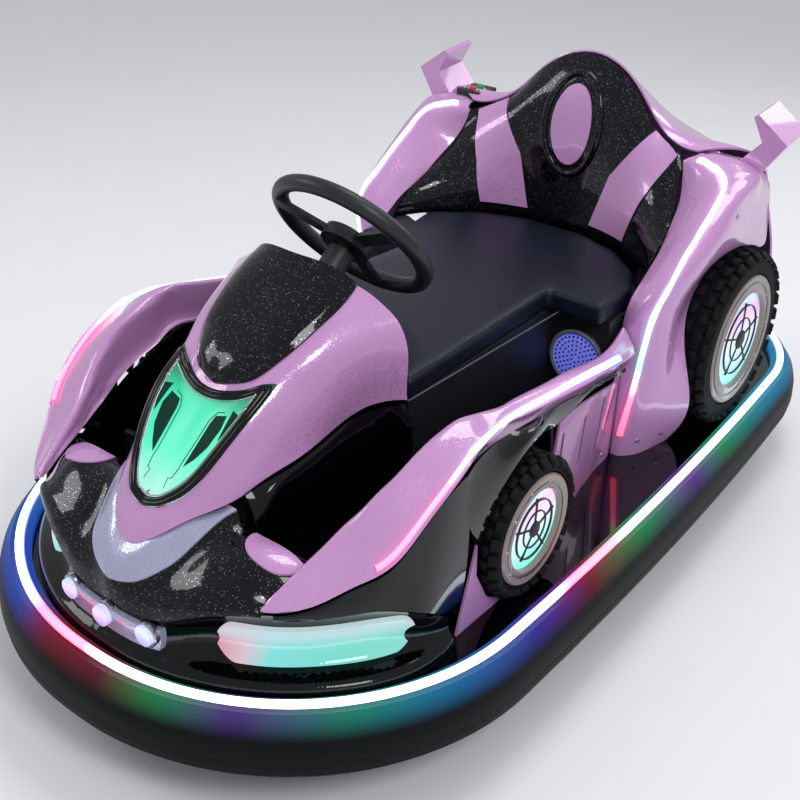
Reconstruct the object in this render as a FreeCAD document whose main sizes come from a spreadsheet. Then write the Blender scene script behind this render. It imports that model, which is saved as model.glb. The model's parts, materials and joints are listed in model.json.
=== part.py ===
"""Two-seat battery bumper car styled as a racing kart, in millimetres.

+X is the driver's left, the nose points to -Y and +Z is up.  The origin is
on the floor, under the middle of the rubber bumper.
"""
import FreeCAD, Part

import os
import re
from math import atan2, cos, exp, pi, radians, sin

Vector = FreeCAD.Vector
Rotation = FreeCAD.Rotation
Placement = FreeCAD.Placement
X_AXIS, Y_AXIS, Z_AXIS = Vector(1, 0, 0), Vector(0, 1, 0), Vector(0, 0, 1)
ORIGIN = Vector(0, 0, 0)

doc = FreeCAD.newDocument("BumperKart")
sheet = doc.addObject("Spreadsheet::Sheet", "Sizes")

# ---------------------------------------------------------------- driving dimensions
# alias, value, meaning
DIMENSIONS = [
    ("half_width", 472, "light strip, middle line, at the widest place"),
    ("nose_length", 960, "light strip, middle line, at the nose"),
    ("tail_length", 940, "light strip, middle line, at the tail"),
    ("nose_radius", 456, "plan radius of the strip's front corners"),
    ("tail_radius", 345, "plan radius of the strip's rear corners"),
    ("nose_taper", 1.5, "front corners inside the widest place"),
    ("tail_taper", 39.5, "rear corners inside the widest place"),
    ("side_radius", 11400, "plan radius of the strip's long sides"),
    ("strip_height", 215, "light strip above the floor"),
    ("strip_radius", 7, "half the thickness of the light strip"),
    ("bumper_reach", 40, "rubber outside the light strip"),
    ("bumper_inside", 20, "rubber inside the light strip"),
    ("bumper_floor_gap", 98, "clearance under the rubber"),
    ("bumper_wall", 12, "rubber thickness"),
    ("deck_height", 192, "top of the floor pan"),
    ("deck_thickness", 6, "floor pan"),
    ("panel", 4, "moulded body panels"),
    ("seam", 0.4, "joint line between neighbouring panels"),
    ("body_rise", 708, "deck to the top of the head restraint"),
    ("front_wheel_radius", 124, "moulded front wheel"),
    ("front_wheel_width", 72, "moulded front wheel"),
    ("front_wheel_y", 373, "moulded front wheel centre, ahead of the middle"),
    ("rear_wheel_radius", 184, "moulded rear wheel"),
    ("rear_wheel_width", 94, "moulded rear wheel"),
    ("rear_wheel_y", 411, "moulded rear wheel centre, behind the middle"),
    ("wheel_face", 421, "outer face of the moulded wheels from the middle plane"),
    ("front_rim_radius", 99, "front wheel cover"),
    ("rear_rim_radius", 139, "rear wheel cover"),
    ("rim_depth", 14, "wheel cover into the tyre"),
    ("steer_wheel_radius", 141, "rim centre line"),
    ("steer_grip_radius", 14.5, "half the rim thickness"),
    ("steer_wheel_y", 353, "centre of the steering wheel, ahead of the middle"),
    ("steer_wheel_height", 707, "centre of the steering wheel"),
    ("column_tilt", 50.6, "column from the vertical, degrees"),
    ("column_radius", 24, "column jacket"),
    ("shaft_radius", 12, "steering shaft"),
    ("tunnel_half_width", 112, "middle tunnel over the drive fork"),
    ("tunnel_front_y", 740, "front wall of the tunnel, ahead of the middle"),
    ("seat_base_y", 60, "front wall of the seat base, behind the middle"),
    ("seat_base_back_y", 340, "back wall of the seat base"),
    ("seat_base_top", 496, "top of the seat base"),
    ("cushion_thickness", 44, "seat pad"),
    ("cushion_edge", 10, "rounding of the seat pad's top edge"),
    ("bench_overhang", 30, "seat pad ahead of the seat base"),
    ("bench_half_width", 292, "seat pad"),
    ("plank_half_width", 199, "the pad's stretch along the tunnel"),
    ("plank_front_y", 438, "front end of the pad, ahead of the middle"),
    ("fork_y", 600, "steering pivot of the drive wheel, ahead of the middle"),
    ("drive_wheel_radius", 100, "hub motor wheel"),
    ("drive_wheel_width", 62, "hub motor wheel"),
    ("fork_blade", 8, "fork plate"),
    ("fork_gap", 6, "tyre to fork"),
    ("axle_radius", 9, "front and rear axles"),
    ("road_wheel_radius", 80, "rear load wheels"),
    ("road_wheel_width", 44, "rear load wheels"),
    ("road_wheel_y", 470, "rear axle, behind the middle"),
    ("road_wheel_x", 300, "rear load wheel centre from the middle plane"),
    ("frame_tube", 40, "chassis tube, square"),
    ("frame_rail_x", 200, "long rail from the middle plane"),
    ("frame_front_y", 800, "front cross tube, ahead of the middle"),
    ("frame_rear_y", 800, "rear cross tube, behind the middle"),
    ("battery_length", 250, "battery, across the kart"),
    ("battery_width", 175, "battery, along the kart"),
    ("battery_height", 225, "battery"),
    ("speaker_radius", 58, "loudspeaker"),
    ("pedal_width", 84, "foot pedal"),
    ("pedal_length", 150, "foot pedal"),
    ("light_thickness", 5, "light strips on the body"),
    ("light_width", 11, "light strips on the body"),
    ("axle_clearance", 0.3, "wheel bore round its axle"),
]
for row, (alias, value, note) in enumerate(DIMENSIONS, start=1):
    sheet.set(f"A{row}", note)
    sheet.set(f"B{row}", str(value))
    sheet.setAlias(f"B{row}", alias)
DERIVED = [
    ("stretch_x", "=half_width / 472"),
    ("stretch_y", "=nose_length / 960"),
    ("stretch_z", "=body_rise / 708"),
    ("shown_face", "=wheel_face * stretch_x"),
    ("foot_level", "=deck_height + seam"),
    ("rail_x", "=frame_rail_x * stretch_x"),
    ("frame_low", "=deck_height - deck_thickness - seam - frame_tube"),
    ("fork_place", "=-fork_y * stretch_y"),
    ("fork_half", "=drive_wheel_width / 2 + fork_gap"),
    ("crown_level", "=drive_wheel_radius * 2 + fork_gap"),
    ("axle_place", "=road_wheel_y * stretch_y"),
    ("wheel_place", "=road_wheel_x * stretch_x"),
    ("axle_end", "=wheel_place + road_wheel_width / 2 + 12"),
    ("bore_radius", "=axle_radius + axle_clearance"),
    ("tunnel_half", "=tunnel_half_width * stretch_x"),
    ("bench_x", "=bench_half_width * stretch_x"),
    ("base_y", "=seat_base_y * stretch_y"),
    ("back_y", "=seat_base_back_y * stretch_y"),
    ("frame_front", "=-frame_front_y * stretch_y"),
    ("frame_rear", "=frame_rear_y * stretch_y"),
]
for row, (alias, rule) in enumerate(DERIVED, start=len(DIMENSIONS) + 1):
    sheet.set(f"A{row}", "worked out from the sizes above")
    sheet.setAlias(f"B{row}", alias)
    sheet.set(f"B{row}", rule)
doc.recompute()


def size(alias):
    """Value of one cell of the sheet."""
    return float(getattr(sheet, alias))


# The body is styled on a half width of 472, a nose length of 960 and a rise of 708;
# the sheet stretches it.
stretch_x = size("half_width") / 472
stretch_y = size("nose_length") / 960
stretch_z = size("body_rise") / 708
deck = size("deck_height")
panel = size("panel")
seam = size("seam")
foot = size("deck_height") + size("seam")


def at(x, y, z):
    """A styling point of the body."""
    return Vector(x * stretch_x, y * stretch_y, deck + (z - 192) * stretch_z)


def wide(alias):
    """A size across the kart, stretched with the body."""
    return size(alias) * stretch_x


def long(alias):
    """A place along the kart, stretched with the body."""
    return size(alias) * stretch_y


# ---------------------------------------------------------------- building helpers
parts = []


def keep(label, obj):
    """Name an object as one sub-part."""
    obj.Label = label
    parts.append(obj)
    return obj


def shaped(label, shape, place=None):
    """A sub-part whose form is set by code."""
    obj = doc.addObject("Part::Feature", label)
    obj.Shape = shape
    if place:
        obj.Placement = place
    return keep(label, obj)


ALIASES = [name for name, *_ in DIMENSIONS] + [name for name, _ in DERIVED]


def from_sheet(rule):
    """A rule in the sheet's own words, as an expression for one property."""
    return re.sub(r"[a-z_]+", lambda word: f"Sizes.{word[0]}" if word[0] in ALIASES else word[0], rule)


def bind(obj, **rules):
    """Tie properties of an object to the sheet. A double underscore stands for a dot."""
    for name, rule in rules.items():
        obj.setExpression(name.replace("__", "."), from_sheet(str(rule)))
    return obj


def sheet_box(name, x, y, z, across, deep, tall):
    """A block: its lowest corner and its three sizes."""
    made = doc.addObject("Part::Box", name)
    return bind(made, Placement__Base__x=x, Placement__Base__y=y, Placement__Base__z=z,
                Length=across, Width=deep, Height=tall)


def sheet_rod(name, x, y, z, radius, height, way=Z_AXIS):
    """A cylinder from its start point along one axis."""
    made = doc.addObject("Part::Cylinder", name)
    made.Placement = FreeCAD.Placement(ORIGIN, FreeCAD.Rotation(Z_AXIS, way))
    return bind(made, Placement__Base__x=x, Placement__Base__y=y, Placement__Base__z=z,
                Radius=radius, Height=height)


def rounded(name, base, radius):
    """The base with its round rims filleted."""
    doc.recompute()
    made = doc.addObject("Part::Fillet", name)
    made.Base = base
    made.Edges = [(k + 1, radius, radius) for k, edge in enumerate(base.Shape.Edges) if edge.Closed]
    return made


def cut_from(name, base, tool):
    made = doc.addObject("Part::Cut", name)
    made.Base, made.Tool = base, tool
    return made


def joined(name, *pieces):
    made = doc.addObject("Part::MultiFuse", name)
    made.Shapes = list(pieces)
    return made


def set_of(name, *pieces):
    """Several separate solids as one object."""
    made = doc.addObject("Part::Compound", name)
    made.Links = list(pieces)
    return made


def mirror_of(name, source):
    made = doc.addObject("Part::Mirroring", name)
    made.Source, made.Normal = source, X_AXIS
    return made


def group(shapes):
    """Several solids that make one sub-part."""
    return Part.makeCompound(shapes)


def clear_of(shape, *others):
    """The largest piece that is left when the others are cut away."""
    for other in others:
        shape = shape.cut(other)
    return max(shape.Solids, key=lambda solid: solid.Volume)


def mirrored(shape):
    return shape.mirror(ORIGIN, X_AXIS)


def spline(points):
    curve = Part.BSplineCurve()
    curve.interpolate(points)
    return curve.toShape()


def along(points, count):
    """Evenly spaced places on a smooth line through points."""
    if len(points) == 2:
        a, b = points
        return [a + (b - a) * (i / (count - 1)) for i in range(count)]
    return spline(points).discretize(Number=count)


def surface(grid):
    patch = Part.BSplineSurface()
    patch.interpolate(grid)
    return patch


def normals(grid):
    rows, columns = len(grid), len(grid[0])
    result = []
    for i in range(rows):
        line = []
        for j in range(columns):
            down = grid[min(i + 1, rows - 1)][j] - grid[max(i - 1, 0)][j]
            across = grid[i][min(j + 1, columns - 1)] - grid[i][max(j - 1, 0)]
            line.append(down.cross(across).normalize())
        result.append(line)
    return result


def sheet_solid(outer, inner):
    """Closed solid between two grids of points of equal size."""
    first, second = surface(outer), surface(inner)
    faces = [first.toShape(), second.toShape()]
    u0, u1, v0, v1 = first.bounds()
    s0, s1, t0, t1 = second.bounds()
    for a, b in ((first.uIso(u0), second.uIso(s0)), (first.uIso(u1), second.uIso(s1)),
                 (first.vIso(v0), second.vIso(t0)), (first.vIso(v1), second.vIso(t1))):
        faces.append(Part.makeRuledSurface(a.toShape(), b.toShape(), 1))
    shell = Part.makeShell(faces)
    shell.sewShape()
    shell.fix(0.01, 0.01, 0.01)
    solid = Part.makeSolid(shell)
    if solid.Volume < 0:
        solid.reverse()
    return solid


def rail_grid(rails, steps, extra):
    """Points of a smooth skin through rails of equal meaning, in order."""
    lines = [along(rail, steps) for rail in rails]
    grid = []
    for i in range(steps):
        station = [line[i] for line in lines]
        count = (len(station) - 1) * extra + 1
        grid.append(along(station, count) if len(station) > 2 else along(station, 4))
    return grid


def moulding(rails, thickness, steps=15, extra=3):
    """Panel of even thickness whose skin runs through the rails, in order.

    The thickness goes to the side that the rails' order points away from.
    """
    grid = rail_grid(rails, steps, extra)
    inner = [[p - n * thickness for p, n in zip(*pair)] for pair in zip(grid, normals(grid))]
    return sheet_solid(grid, inner)


def overlay(rails, height, steps, extra=3):
    """Layer that lies on a panel, one seam clear of its skin."""
    grid = rail_grid(rails, steps, extra)
    away = normals(grid)
    rise = height if callable(height) else (lambda point: height)
    outer = [[p + n * rise(p) for p, n in zip(*pair)] for pair in zip(grid, away)]
    inner = [[p + n * seam for p, n in zip(*pair)] for pair in zip(grid, away)]
    return sheet_solid(outer, inner)


def across(points):
    """Full-width line from its right half, which starts on the middle plane."""
    left = [Vector(-p.x, p.y, p.z) for p in reversed(points) if p.x > 0]
    return left + points


nose_radius, tail_radius = size("nose_radius"), size("tail_radius")
nose_centre = Vector(size("half_width") - nose_radius - size("nose_taper"), nose_radius - size("nose_length"), 0)
tail_centre = Vector(size("half_width") - tail_radius - size("tail_taper"), size("tail_length") - tail_radius, 0)


def side_centre():
    """Centre of the long side's arc, which runs smoothly into both corners."""
    to_nose, to_tail = size("side_radius") - nose_radius, size("side_radius") - tail_radius
    link = tail_centre - nose_centre
    share = (to_nose ** 2 - to_tail ** 2 + link.Length ** 2) / (2 * link.Length)
    height = (to_nose ** 2 - share ** 2) ** 0.5
    aim = Vector(link).normalize()
    return nose_centre + aim * share + Vector(-aim.y, aim.x, 0) * height


def oval(offset, height):
    """Plan of the kart, grown by offset: flat ends, round corners, bowed sides."""
    bow_centre = side_centre()

    def on(centre, radius, angle):
        return Vector(centre.x + radius * cos(angle), centre.y + radius * sin(angle), height)

    turns = []
    for centre in (nose_centre, tail_centre):
        turns.append(atan2(centre.y - bow_centre.y, centre.x - bow_centre.x))
    half = []
    for centre, radius, first, last in (
            (nose_centre, nose_radius, -pi / 2, turns[0]),
            (bow_centre, size("side_radius"), turns[0], turns[1]),
            (tail_centre, tail_radius, turns[1], pi / 2)):
        ends = [on(centre, radius + offset, angle) for angle in (first, (first + last) / 2, last)]
        half.append(Part.Arc(*ends).toShape())
    other = [edge.mirror(ORIGIN, X_AXIS) for edge in half]
    ends = [half[0].Vertexes, half[-1].Vertexes]
    nose_point = min((v.Point for v in ends[0]), key=lambda p: p.y)
    tail_point = max((v.Point for v in ends[1]), key=lambda p: p.y)
    flats = [Part.makeLine(p, Vector(-p.x, p.y, p.z)) for p in (nose_point, tail_point)]
    return Part.Wire(Part.__sortEdges__(half + other + flats))


def oval_band(profile):
    """Sweep a closed outline of (out, up) points round the oval."""
    path = oval(0, size("strip_height"))
    start = Vector(0, -size("nose_length"), size("strip_height"))
    points = [start + Vector(0, -out, up) for out, up in profile]
    outline = Part.makePolygon(points + [points[0]])
    return path.makePipeShell([outline], True, False)


def plate(wire, thickness):
    return Part.Face(wire).extrude(Vector(0, 0, thickness))


def through(lines, direction, reach):
    """Prism along a direction, over an outline made of smooth lines joined end to end."""
    heading = Vector(direction).normalize()
    middle = lines[0][0]
    edges = []
    for line in lines:
        flat = [p - heading * ((p - middle).dot(heading) + reach) for p in line]
        edges.append(spline(flat) if len(flat) > 2 else Part.makeLine(*flat))
    return Part.Face(Part.Wire(edges)).extrude(heading * (2 * reach))


def box(x0, x1, y0, y1, z0, z1):
    return Part.makeBox(x1 - x0, y1 - y0, z1 - z0, Vector(x0, y0, z0))


# ---------------------------------------------------------------- bumper and floor
strip = size("strip_height")
reach_out, reach_in = size("bumper_reach"), size("bumper_inside")
wall = size("bumper_wall")
groove = size("strip_radius") + seam
lip = deck + seam - strip
bumper_drop = strip - size("bumper_floor_gap")
bumper_outline = [
    (groove, -groove), (groove + 8, -5), (reach_out * 0.5, -0.1 * bumper_drop), (reach_out * 0.8, -0.24 * bumper_drop),
    (reach_out * 0.96, -0.43 * bumper_drop), (reach_out, -0.65 * bumper_drop),
    (reach_out * 0.9, -0.88 * bumper_drop), (reach_out * 0.6, -bumper_drop), (-10, -bumper_drop),
    (-10, wall - bumper_drop), (reach_out * 0.5, wall - bumper_drop), (reach_out - wall, -0.82 * bumper_drop),
    (reach_out - wall, -0.6 * bumper_drop), (reach_out * 0.3, -0.34 * bumper_drop), (-6, lip), (-reach_in, lip),
    (-reach_in, -groove)]
shaped("bumper_ring", oval_band(bumper_outline))
light_outline = [(size("strip_radius") * cos(a), size("strip_radius") * sin(a))
                 for a in (radians(22.5 + 45 * k) for k in range(8))]
shaped("bumper_light", oval_band(light_outline))

tunnel_x = wide("tunnel_half_width")
fork_y = -long("fork_y")
pan = plate(oval(-12, deck - size("deck_thickness")), size("deck_thickness"))
pan_hole = box(-tunnel_x + 2 * panel, tunnel_x - 2 * panel, -long("tunnel_front_y") + 2 * panel,
               -long("plank_front_y") - 8, deck - 50, deck + 50)
shaped("deck_tray", pan.cut(pan_hole))

# ---------------------------------------------------------------- nose
def on_oval(offset, angle, height):
    """Place on the front corner arc of the grown plan, angle from straight ahead."""
    radius = nose_radius + offset
    return Vector(nose_centre.x + radius * sin(radians(angle)), nose_centre.y - radius * cos(radians(angle)),
                  height)


base_inset = -reach_in - 12
deck_top = deck + seam


def front_arc(offsets, heights):
    """Points round the front corner, one for each of the skirt's angles."""
    return [on_oval(offset, angle, at(0, 0, height).z)
            for angle, offset, height in zip((22, 34, 48, 62, 72, 80), offsets, heights)]


skirt_rows = [
    [Vector(0, -size("nose_length") - base_inset, deck_top), on_oval(base_inset, 11, deck_top)]
    + [Vector(p.x, p.y, deck_top) for p in front_arc((-32, -32, -32, -32, -42, -60), (192,) * 6)],
    [at(0, -927, 214), on_oval(-33, 11, at(0, 0, 214).z)]
    + front_arc((-34, -34, -34, -34, -44, -62), (214,) * 6),
    [at(0, -913, 226), at(100, -901, 226)] + front_arc((-62, -62, -62, -62, -66, -70), (226, 226, 226, 226, 224, 222)),
    [at(0, -911, 234), at(98, -898, 234)] + front_arc((-73, -73, -73, -73, -72, -73), (238, 238, 238, 238, 232, 229)),
    [at(0, -911, 268), at(98, -898, 270)] + front_arc((-73, -73, -73, -73, -71, -73), (290, 296, 296, 290, 262, 238)),
    [at(0, -910, 274), at(104, -897, 281)] + front_arc((-55, -54, -54, -54, -60, -72), (312, 328, 329, 317, 282, 246)),
]
skirt = moulding([across(row) for row in skirt_rows], panel, steps=41)
nose_rows = [
    [at(0, -912, 276.5), at(60, -910, 278), at(108, -901, 285), at(140, -893, 301), at(172, -883, 317),
     at(226, -857, 331), at(251, -842, 333)],
    [at(0, -906, 312), at(24, -901, 313), at(60, -890, 322), at(100, -880, 330), at(150, -874, 340),
     at(200, -862, 345), at(235, -850, 342), at(252, -838, 336)],
    [at(0, -870, 355.4), at(28, -862, 364.4), at(52, -850, 372), at(72, -856, 358), at(87, -853, 352),
     at(130, -848, 358), at(180, -842, 362), at(215, -838, 358), at(240, -832, 346), at(256, -820, 339)],
    [at(0, -820, 374), at(40, -818, 382), at(76, -815, 396), at(88, -812, 392), at(103, -810, 383),
     at(130, -806, 382), at(160, -804, 384), at(208, -803, 384), at(240, -800, 370), at(264, -796, 349)],
    [at(0, -752, 385), at(80, -752, 395), at(108, -752, 414), at(122, -752, 402), at(136, -752, 391),
     at(157, -752, 386), at(208, -752, 386), at(240, -752, 381), at(258, -752, 372), at(273, -752, 361)],
]
nose = moulding([across(row) for row in nose_rows], panel, steps=41)


def slot_prism(centre, run, side_way, width, depth):
    """Round-ended bar: run is its middle line, side_way the direction of its width."""
    heading = Vector(run).normalize()
    half, radius = run / 2 - heading * width / 2, width / 2
    aside = side_way * radius
    tip, toe = centre + half, centre - half
    edges = [Part.Arc(tip - aside, tip + heading * radius, tip + aside).toShape(),
             Part.makeLine(tip + aside, toe + aside),
             Part.Arc(toe + aside, toe - heading * radius, toe - aside).toShape(),
             Part.makeLine(toe - aside, tip - aside)]
    return Part.Face(Part.Wire(edges)).extrude(heading.cross(aside).normalize() * depth)


skin_on_skirt = overlay([across(row) for row in skirt_rows], 10, 41)
lens_from, lens_to = at(180, -850, 264), at(378, -652, 264)
lens_run = (lens_to - lens_from).normalize() * 296
lens = slot_prism((lens_from + lens_to) / 2, lens_run, Vector(Z_AXIS), 60, 200)
lens = clear_of(skin_on_skirt.common(lens))
skin_on_nose = overlay([across(row) for row in nose_rows], 3, 41)
chin_edge = [at(0, -907, 312), at(24, -901, 314), at(52, -889, 323), at(72, -873, 336), at(87, -854, 354),
             at(95, -834, 368), at(103, -811, 385), at(110, -785, 400), at(119, -753, 412)]
shaped("nose_skirt", skirt)
shaped("nose_cowl", nose)
shaped("headlamps", group([lens, mirrored(lens)]))
lamp_panel = clear_of(skin_on_skirt.common(box(-106 * stretch_x, 106 * stretch_x, -1.1 * size("nose_length"), -0.9 * size("nose_length"), at(0, 0, 233).z, at(0, 0, 269).z)))
shaped("lamp_panel", lamp_panel)
bulb = [Part.makeCylinder(17 * stretch_x, 10, at(x, y, z), -Y_AXIS)
        for x, y, z in ((-85, -910, 256), (0, -920, 254), (85, -910, 256))]
shaped("lamp_bulbs", group([clear_of(one, lamp_panel) for one in bulb]))

# ---------------------------------------------------------------- middle cowl
spine_rows = [
    [at(0, -870, 360), at(28, -862, 369), at(53, -844, 386), at(72, -822, 401), at(81, -810, 407),
     at(98, -785, 416), at(112, -757, 424), at(118, -742, 429)],
    [at(0, -833, 407), at(30, -827, 416), at(56, -806, 432), at(80, -788, 440), at(100, -768, 437),
     at(110, -755, 435), at(122, -731, 435)],
    [at(0, -758, 481), at(45, -758, 482), at(84, -758, 483), at(100, -748, 466), at(110, -740, 456),
     at(125, -720, 440)],
    [at(0, -706, 531), at(50, -706, 532), at(98, -706, 533), at(109, -705, 508), at(120, -704, 476),
     at(129, -704, 446)],
    [at(0, -688, 549), at(34, -684, 553), at(68, -667, 563), at(99, -646, 577), at(111, -640, 568),
     at(130, -638, 524), at(144, -640, 463)],
    [at(0, -604, 610), at(50, -603, 611), at(94, -601, 613), at(112, -604, 604), at(130, -602, 576),
     at(142, -598, 536), at(147, -592, 474)],
    [at(0, -548, 648), at(60, -548, 648), at(106, -548, 643), at(126, -545, 634), at(142, -543, 616),
     at(152, -544, 580), at(153, -546, 530), at(149, -548, 486)],
    [at(0, -480, 700), at(40, -477, 698), at(76, -472, 692), at(107, -467, 684), at(128, -460, 674),
     at(154, -452, 656), at(173, -450, 643), at(187, -448, 624), at(196, -447, 600), at(198, -445, 554),
     at(198, -442, 502)],
]
spine_lines = [across(row) for row in spine_rows]
spine = moulding(spine_lines, panel, steps=33)


canopy_edge = [at(0, -683, 560), at(29, -674, 561), at(56, -660, 570), at(72, -642, 584), at(84, -622, 599),
               at(94, -601, 615), at(101, -576, 629), at(106, -550, 643), at(110, -525, 659),
               at(111, -500, 672), at(107, -466, 688)]


def canopy_bulge(point):
    """How far the canopy stands proud of the cowl under it."""
    half = 1.0
    for before, after in zip(canopy_edge, canopy_edge[1:]):
        if before.y <= point.y <= after.y:
            half = before.x + (after.x - before.x) * (point.y - before.y) / (after.y - before.y)
    if point.y > canopy_edge[-1].y:
        half = canopy_edge[-1].x
    side = 1 - min(1.02, abs(point.x) / half) ** 4
    front = 1 - exp(-max(0.0, point.y - canopy_edge[0].y) / 22)
    return max(1.2, 3 + 21 * side * front)


chin_lines = [chin_edge, [chin_edge[-1], at(-119, -753, 412)],
              [Vector(-p.x, p.y, p.z) for p in reversed(chin_edge)]]
chin = clear_of(skin_on_nose.common(through(chin_lines, Vector(0, -0.6, 0.8), 120)), spine)
shaped("chin_plate", chin)
plate_side = [at(0, -833, 407), at(36, -825, 417), at(58, -805, 434), at(74, -782, 459), at(84, -758, 483),
              at(92, -732, 509), at(98, -706, 533), at(101, -677, 555), at(101, -647, 577)]
plate_top = [at(101, -647, 577), at(85, -656, 571), at(68, -667, 563), at(34, -684, 553), at(0, -689, 549),
             at(-34, -684, 553), at(-68, -667, 563), at(-85, -656, 571), at(-101, -647, 577)]
plate_lines = [plate_side, plate_top, [Vector(-p.x, p.y, p.z) for p in reversed(plate_side)]]
light_plate = overlay(spine_lines, 3, 33).common(through(plate_lines, Vector(0, -0.7, 0.7), 120))
canopy_lines = [canopy_edge, [canopy_edge[-1], Vector(-canopy_edge[-1].x, canopy_edge[-1].y, canopy_edge[-1].z)],
                [Vector(-p.x, p.y, p.z) for p in reversed(canopy_edge)]]
canopy = overlay(spine_lines, canopy_bulge, 65, 6)
canopy = canopy.common(through(canopy_lines, Vector(0, -0.5, 0.85), 160))
dash_top = [at(0, -476, 690), at(40, -473, 687), at(76, -468, 680), at(104, -463, 672), at(124, -456, 662),
            at(148, -449, 645), at(166, -447, 632), at(178, -445, 614), at(187, -444, 596)]
dash_foot = [at(0, -470, 546), at(60, -466, 546), at(120, -456, 546), at(190, -447, 546)]
dash = moulding([across(dash_foot), across(dash_top)], panel, steps=33)
shaped("spine_cowl", spine)
shaped("light_plate", clear_of(light_plate))
shaped("canopy", clear_of(canopy))

# ---------------------------------------------------------------- fenders
crest = [at(253, -840, 352), at(271, -765, 399), at(292, -696, 444), at(308, -660, 476),
         at(325, -578, 523), at(333, -503, 543), at(343, -470, 545), at(352, -430, 539),
         at(347, -371, 528), at(337, -262, 508), at(326, -142, 487), at(312, 20, 463), at(303, 92, 480)]
edge = [at(256, -846, 349), at(310, -797, 362), at(348, -747, 388), at(374, -716, 407),
        at(392, -662, 455), at(398, -602, 495), at(392, -520, 523), at(384, -474, 525),
        at(378, -433, 521), at(369, -314, 501), at(358, -160, 475), at(344, 36, 442), at(340, 90, 436)]
inner_low = [at(251, -832, 347), at(267, -765, 374), at(288, -696, 394), at(303, -650, 408),
             at(319, -578, 435), at(328, -503, 452), at(339, -470, 458), at(345, -430, 460),
             at(340, -372, 454), at(330, -260, 435), at(320, -141, 421), at(306, 20, 402), at(298, 92, 396)]
ridge = [a + (b - a) * 0.5 + Vector(0, 0, 3) for a, b in zip(crest, edge)]
shoulder = [a + (b - a) * 0.3 for a, b in zip(crest, inner_low)]
fender_rails = [edge, ridge, crest, shoulder, inner_low]
fender = moulding(fender_rails, panel, steps=31)
shaped("fender_left", fender)
shaped("fender_right", mirrored(fender))

# ---------------------------------------------------------------- wheels that are only shown
for end, side_y in (("front", "-front_wheel_y * stretch_y"), ("rear", "rear_wheel_y * stretch_y")):
    axle_z = f"foot_level + {end}_wheel_radius"
    tread = sheet_rod(end + "_tread", f"shown_face - {end}_wheel_width", side_y, axle_z,
                      f"{end}_wheel_radius", f"{end}_wheel_width", X_AXIS)
    seat_of_cover = sheet_rod(end + "_cover_seat", "shown_face - rim_depth", side_y, axle_z,
                              f"{end}_rim_radius + seam", "rim_depth", X_AXIS)
    tyre = cut_from(end + "_tyre", rounded(end + "_shoulders", tread, 16), seat_of_cover)
    cover = sheet_rod(end + "_cover", "shown_face - rim_depth", side_y, axle_z,
                      f"{end}_rim_radius", "rim_depth - 3", X_AXIS)
    keep(end + "_tyres", set_of(end + "_tyres", tyre, mirror_of(end + "_tyre_right", tyre)))
    keep(end + "_hubs", set_of(end + "_hubs", cover, mirror_of(end + "_cover_right", cover)))

# ---------------------------------------------------------------- side panels behind the doors
quarter_rails = [
    [at(365, 233, foot), at(396, 246, 278), at(395, 226, 343), at(376, 224, 416), at(358, 256, 484),
     at(358, 302, 532), at(362, 356, 560), at(366, 420, 571), at(369, 500, 551), at(370, 580, 524),
     at(374, 560, 600), at(378, 486, 704), at(276, 420, 746)],
    [at(352, 168, foot), at(360, 166, 260), at(370, 158, 343), at(372, 150, 420), at(372, 158, 484),
     at(378, 178, 532), at(388, 208, 572), at(394, 252, 608), at(397, 302, 648), at(397, 352, 690),
     at(396, 392, 730), at(370, 404, 742), at(272, 390, 744)],
    [at(334, 126, foot), at(340, 124, 260), at(350, 122, 343), at(358, 122, 420), at(366, 128, 484),
     at(375, 142, 532), at(385, 170, 575), at(391, 206, 609), at(394, 256, 646), at(395, 306, 682),
     at(390, 352, 714), at(360, 382, 738), at(268, 376, 742)],
    [at(317, 112, foot), at(322, 110, 260), at(333, 110, 343), at(341, 109, 420), at(349, 106, 484),
     at(358, 108, 530), at(367, 126, 568), at(368, 172, 606), at(368, 236, 650), at(366, 296, 690),
     at(354, 336, 722), at(318, 352, 737), at(264, 364, 740)],
    [at(303, 112, foot), at(300, 111, 280), at(298, 110, 374), at(298, 106, 430), at(299, 100, 484),
     at(300, 112, 522), at(300, 140, 546), at(299, 185, 573), at(291, 244, 602), at(284, 288, 634), at(274, 332, 668),
     at(262, 354, 705), at(256, 360, 734)],
]
haunch = list(zip(along(quarter_rails[0], 31), along(quarter_rails[1], 31)))
quarter_rails[1:1] = [[a + (b - a) * share for a, b in haunch] for share in (0.3, 0.65)]
quarter = moulding(quarter_rails, panel, steps=31, extra=2)
shaped("quarter_left", quarter)
shaped("quarter_right", mirrored(quarter))

# ---------------------------------------------------------------- winglets
wing_front = [(344, 738), (386, 786), (362, 832), (371, 838), (436, 790), (396, 728)]


def wing_outline(y, rise, widen):
    corners = [at(x + widen, y, z + rise) for x, z in wing_front]
    return Part.makePolygon(corners + corners[:1])


winglet = Part.makeLoft([wing_outline(414, 0, 0), wing_outline(508, 10, 0)], True, True)

# ---------------------------------------------------------------- footwells
cowl_foot = [at(121, -738, 430), at(130, -708, 440), at(140, -679, 449), at(146, -640, 459), at(149, -592, 470),
             at(151, -548, 482), at(159, -511, 490), at(173, -478, 494), at(186, -462, 496), at(197, -449, 497)]
cowl_step = [at(138, -738, 404), at(139, -716, 430), at(143, -690, 443), at(149, -644, 454), at(152, -592, 466),
             at(154, -546, 478), at(162, -508, 486), at(176, -475, 490), at(189, -460, 492), at(200, -449, 493)]


def dropped(line, out, height):
    """The line's plan, moved out and set at one height."""
    return [Vector(p.x + out, p.y, height) for p in line]


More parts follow.
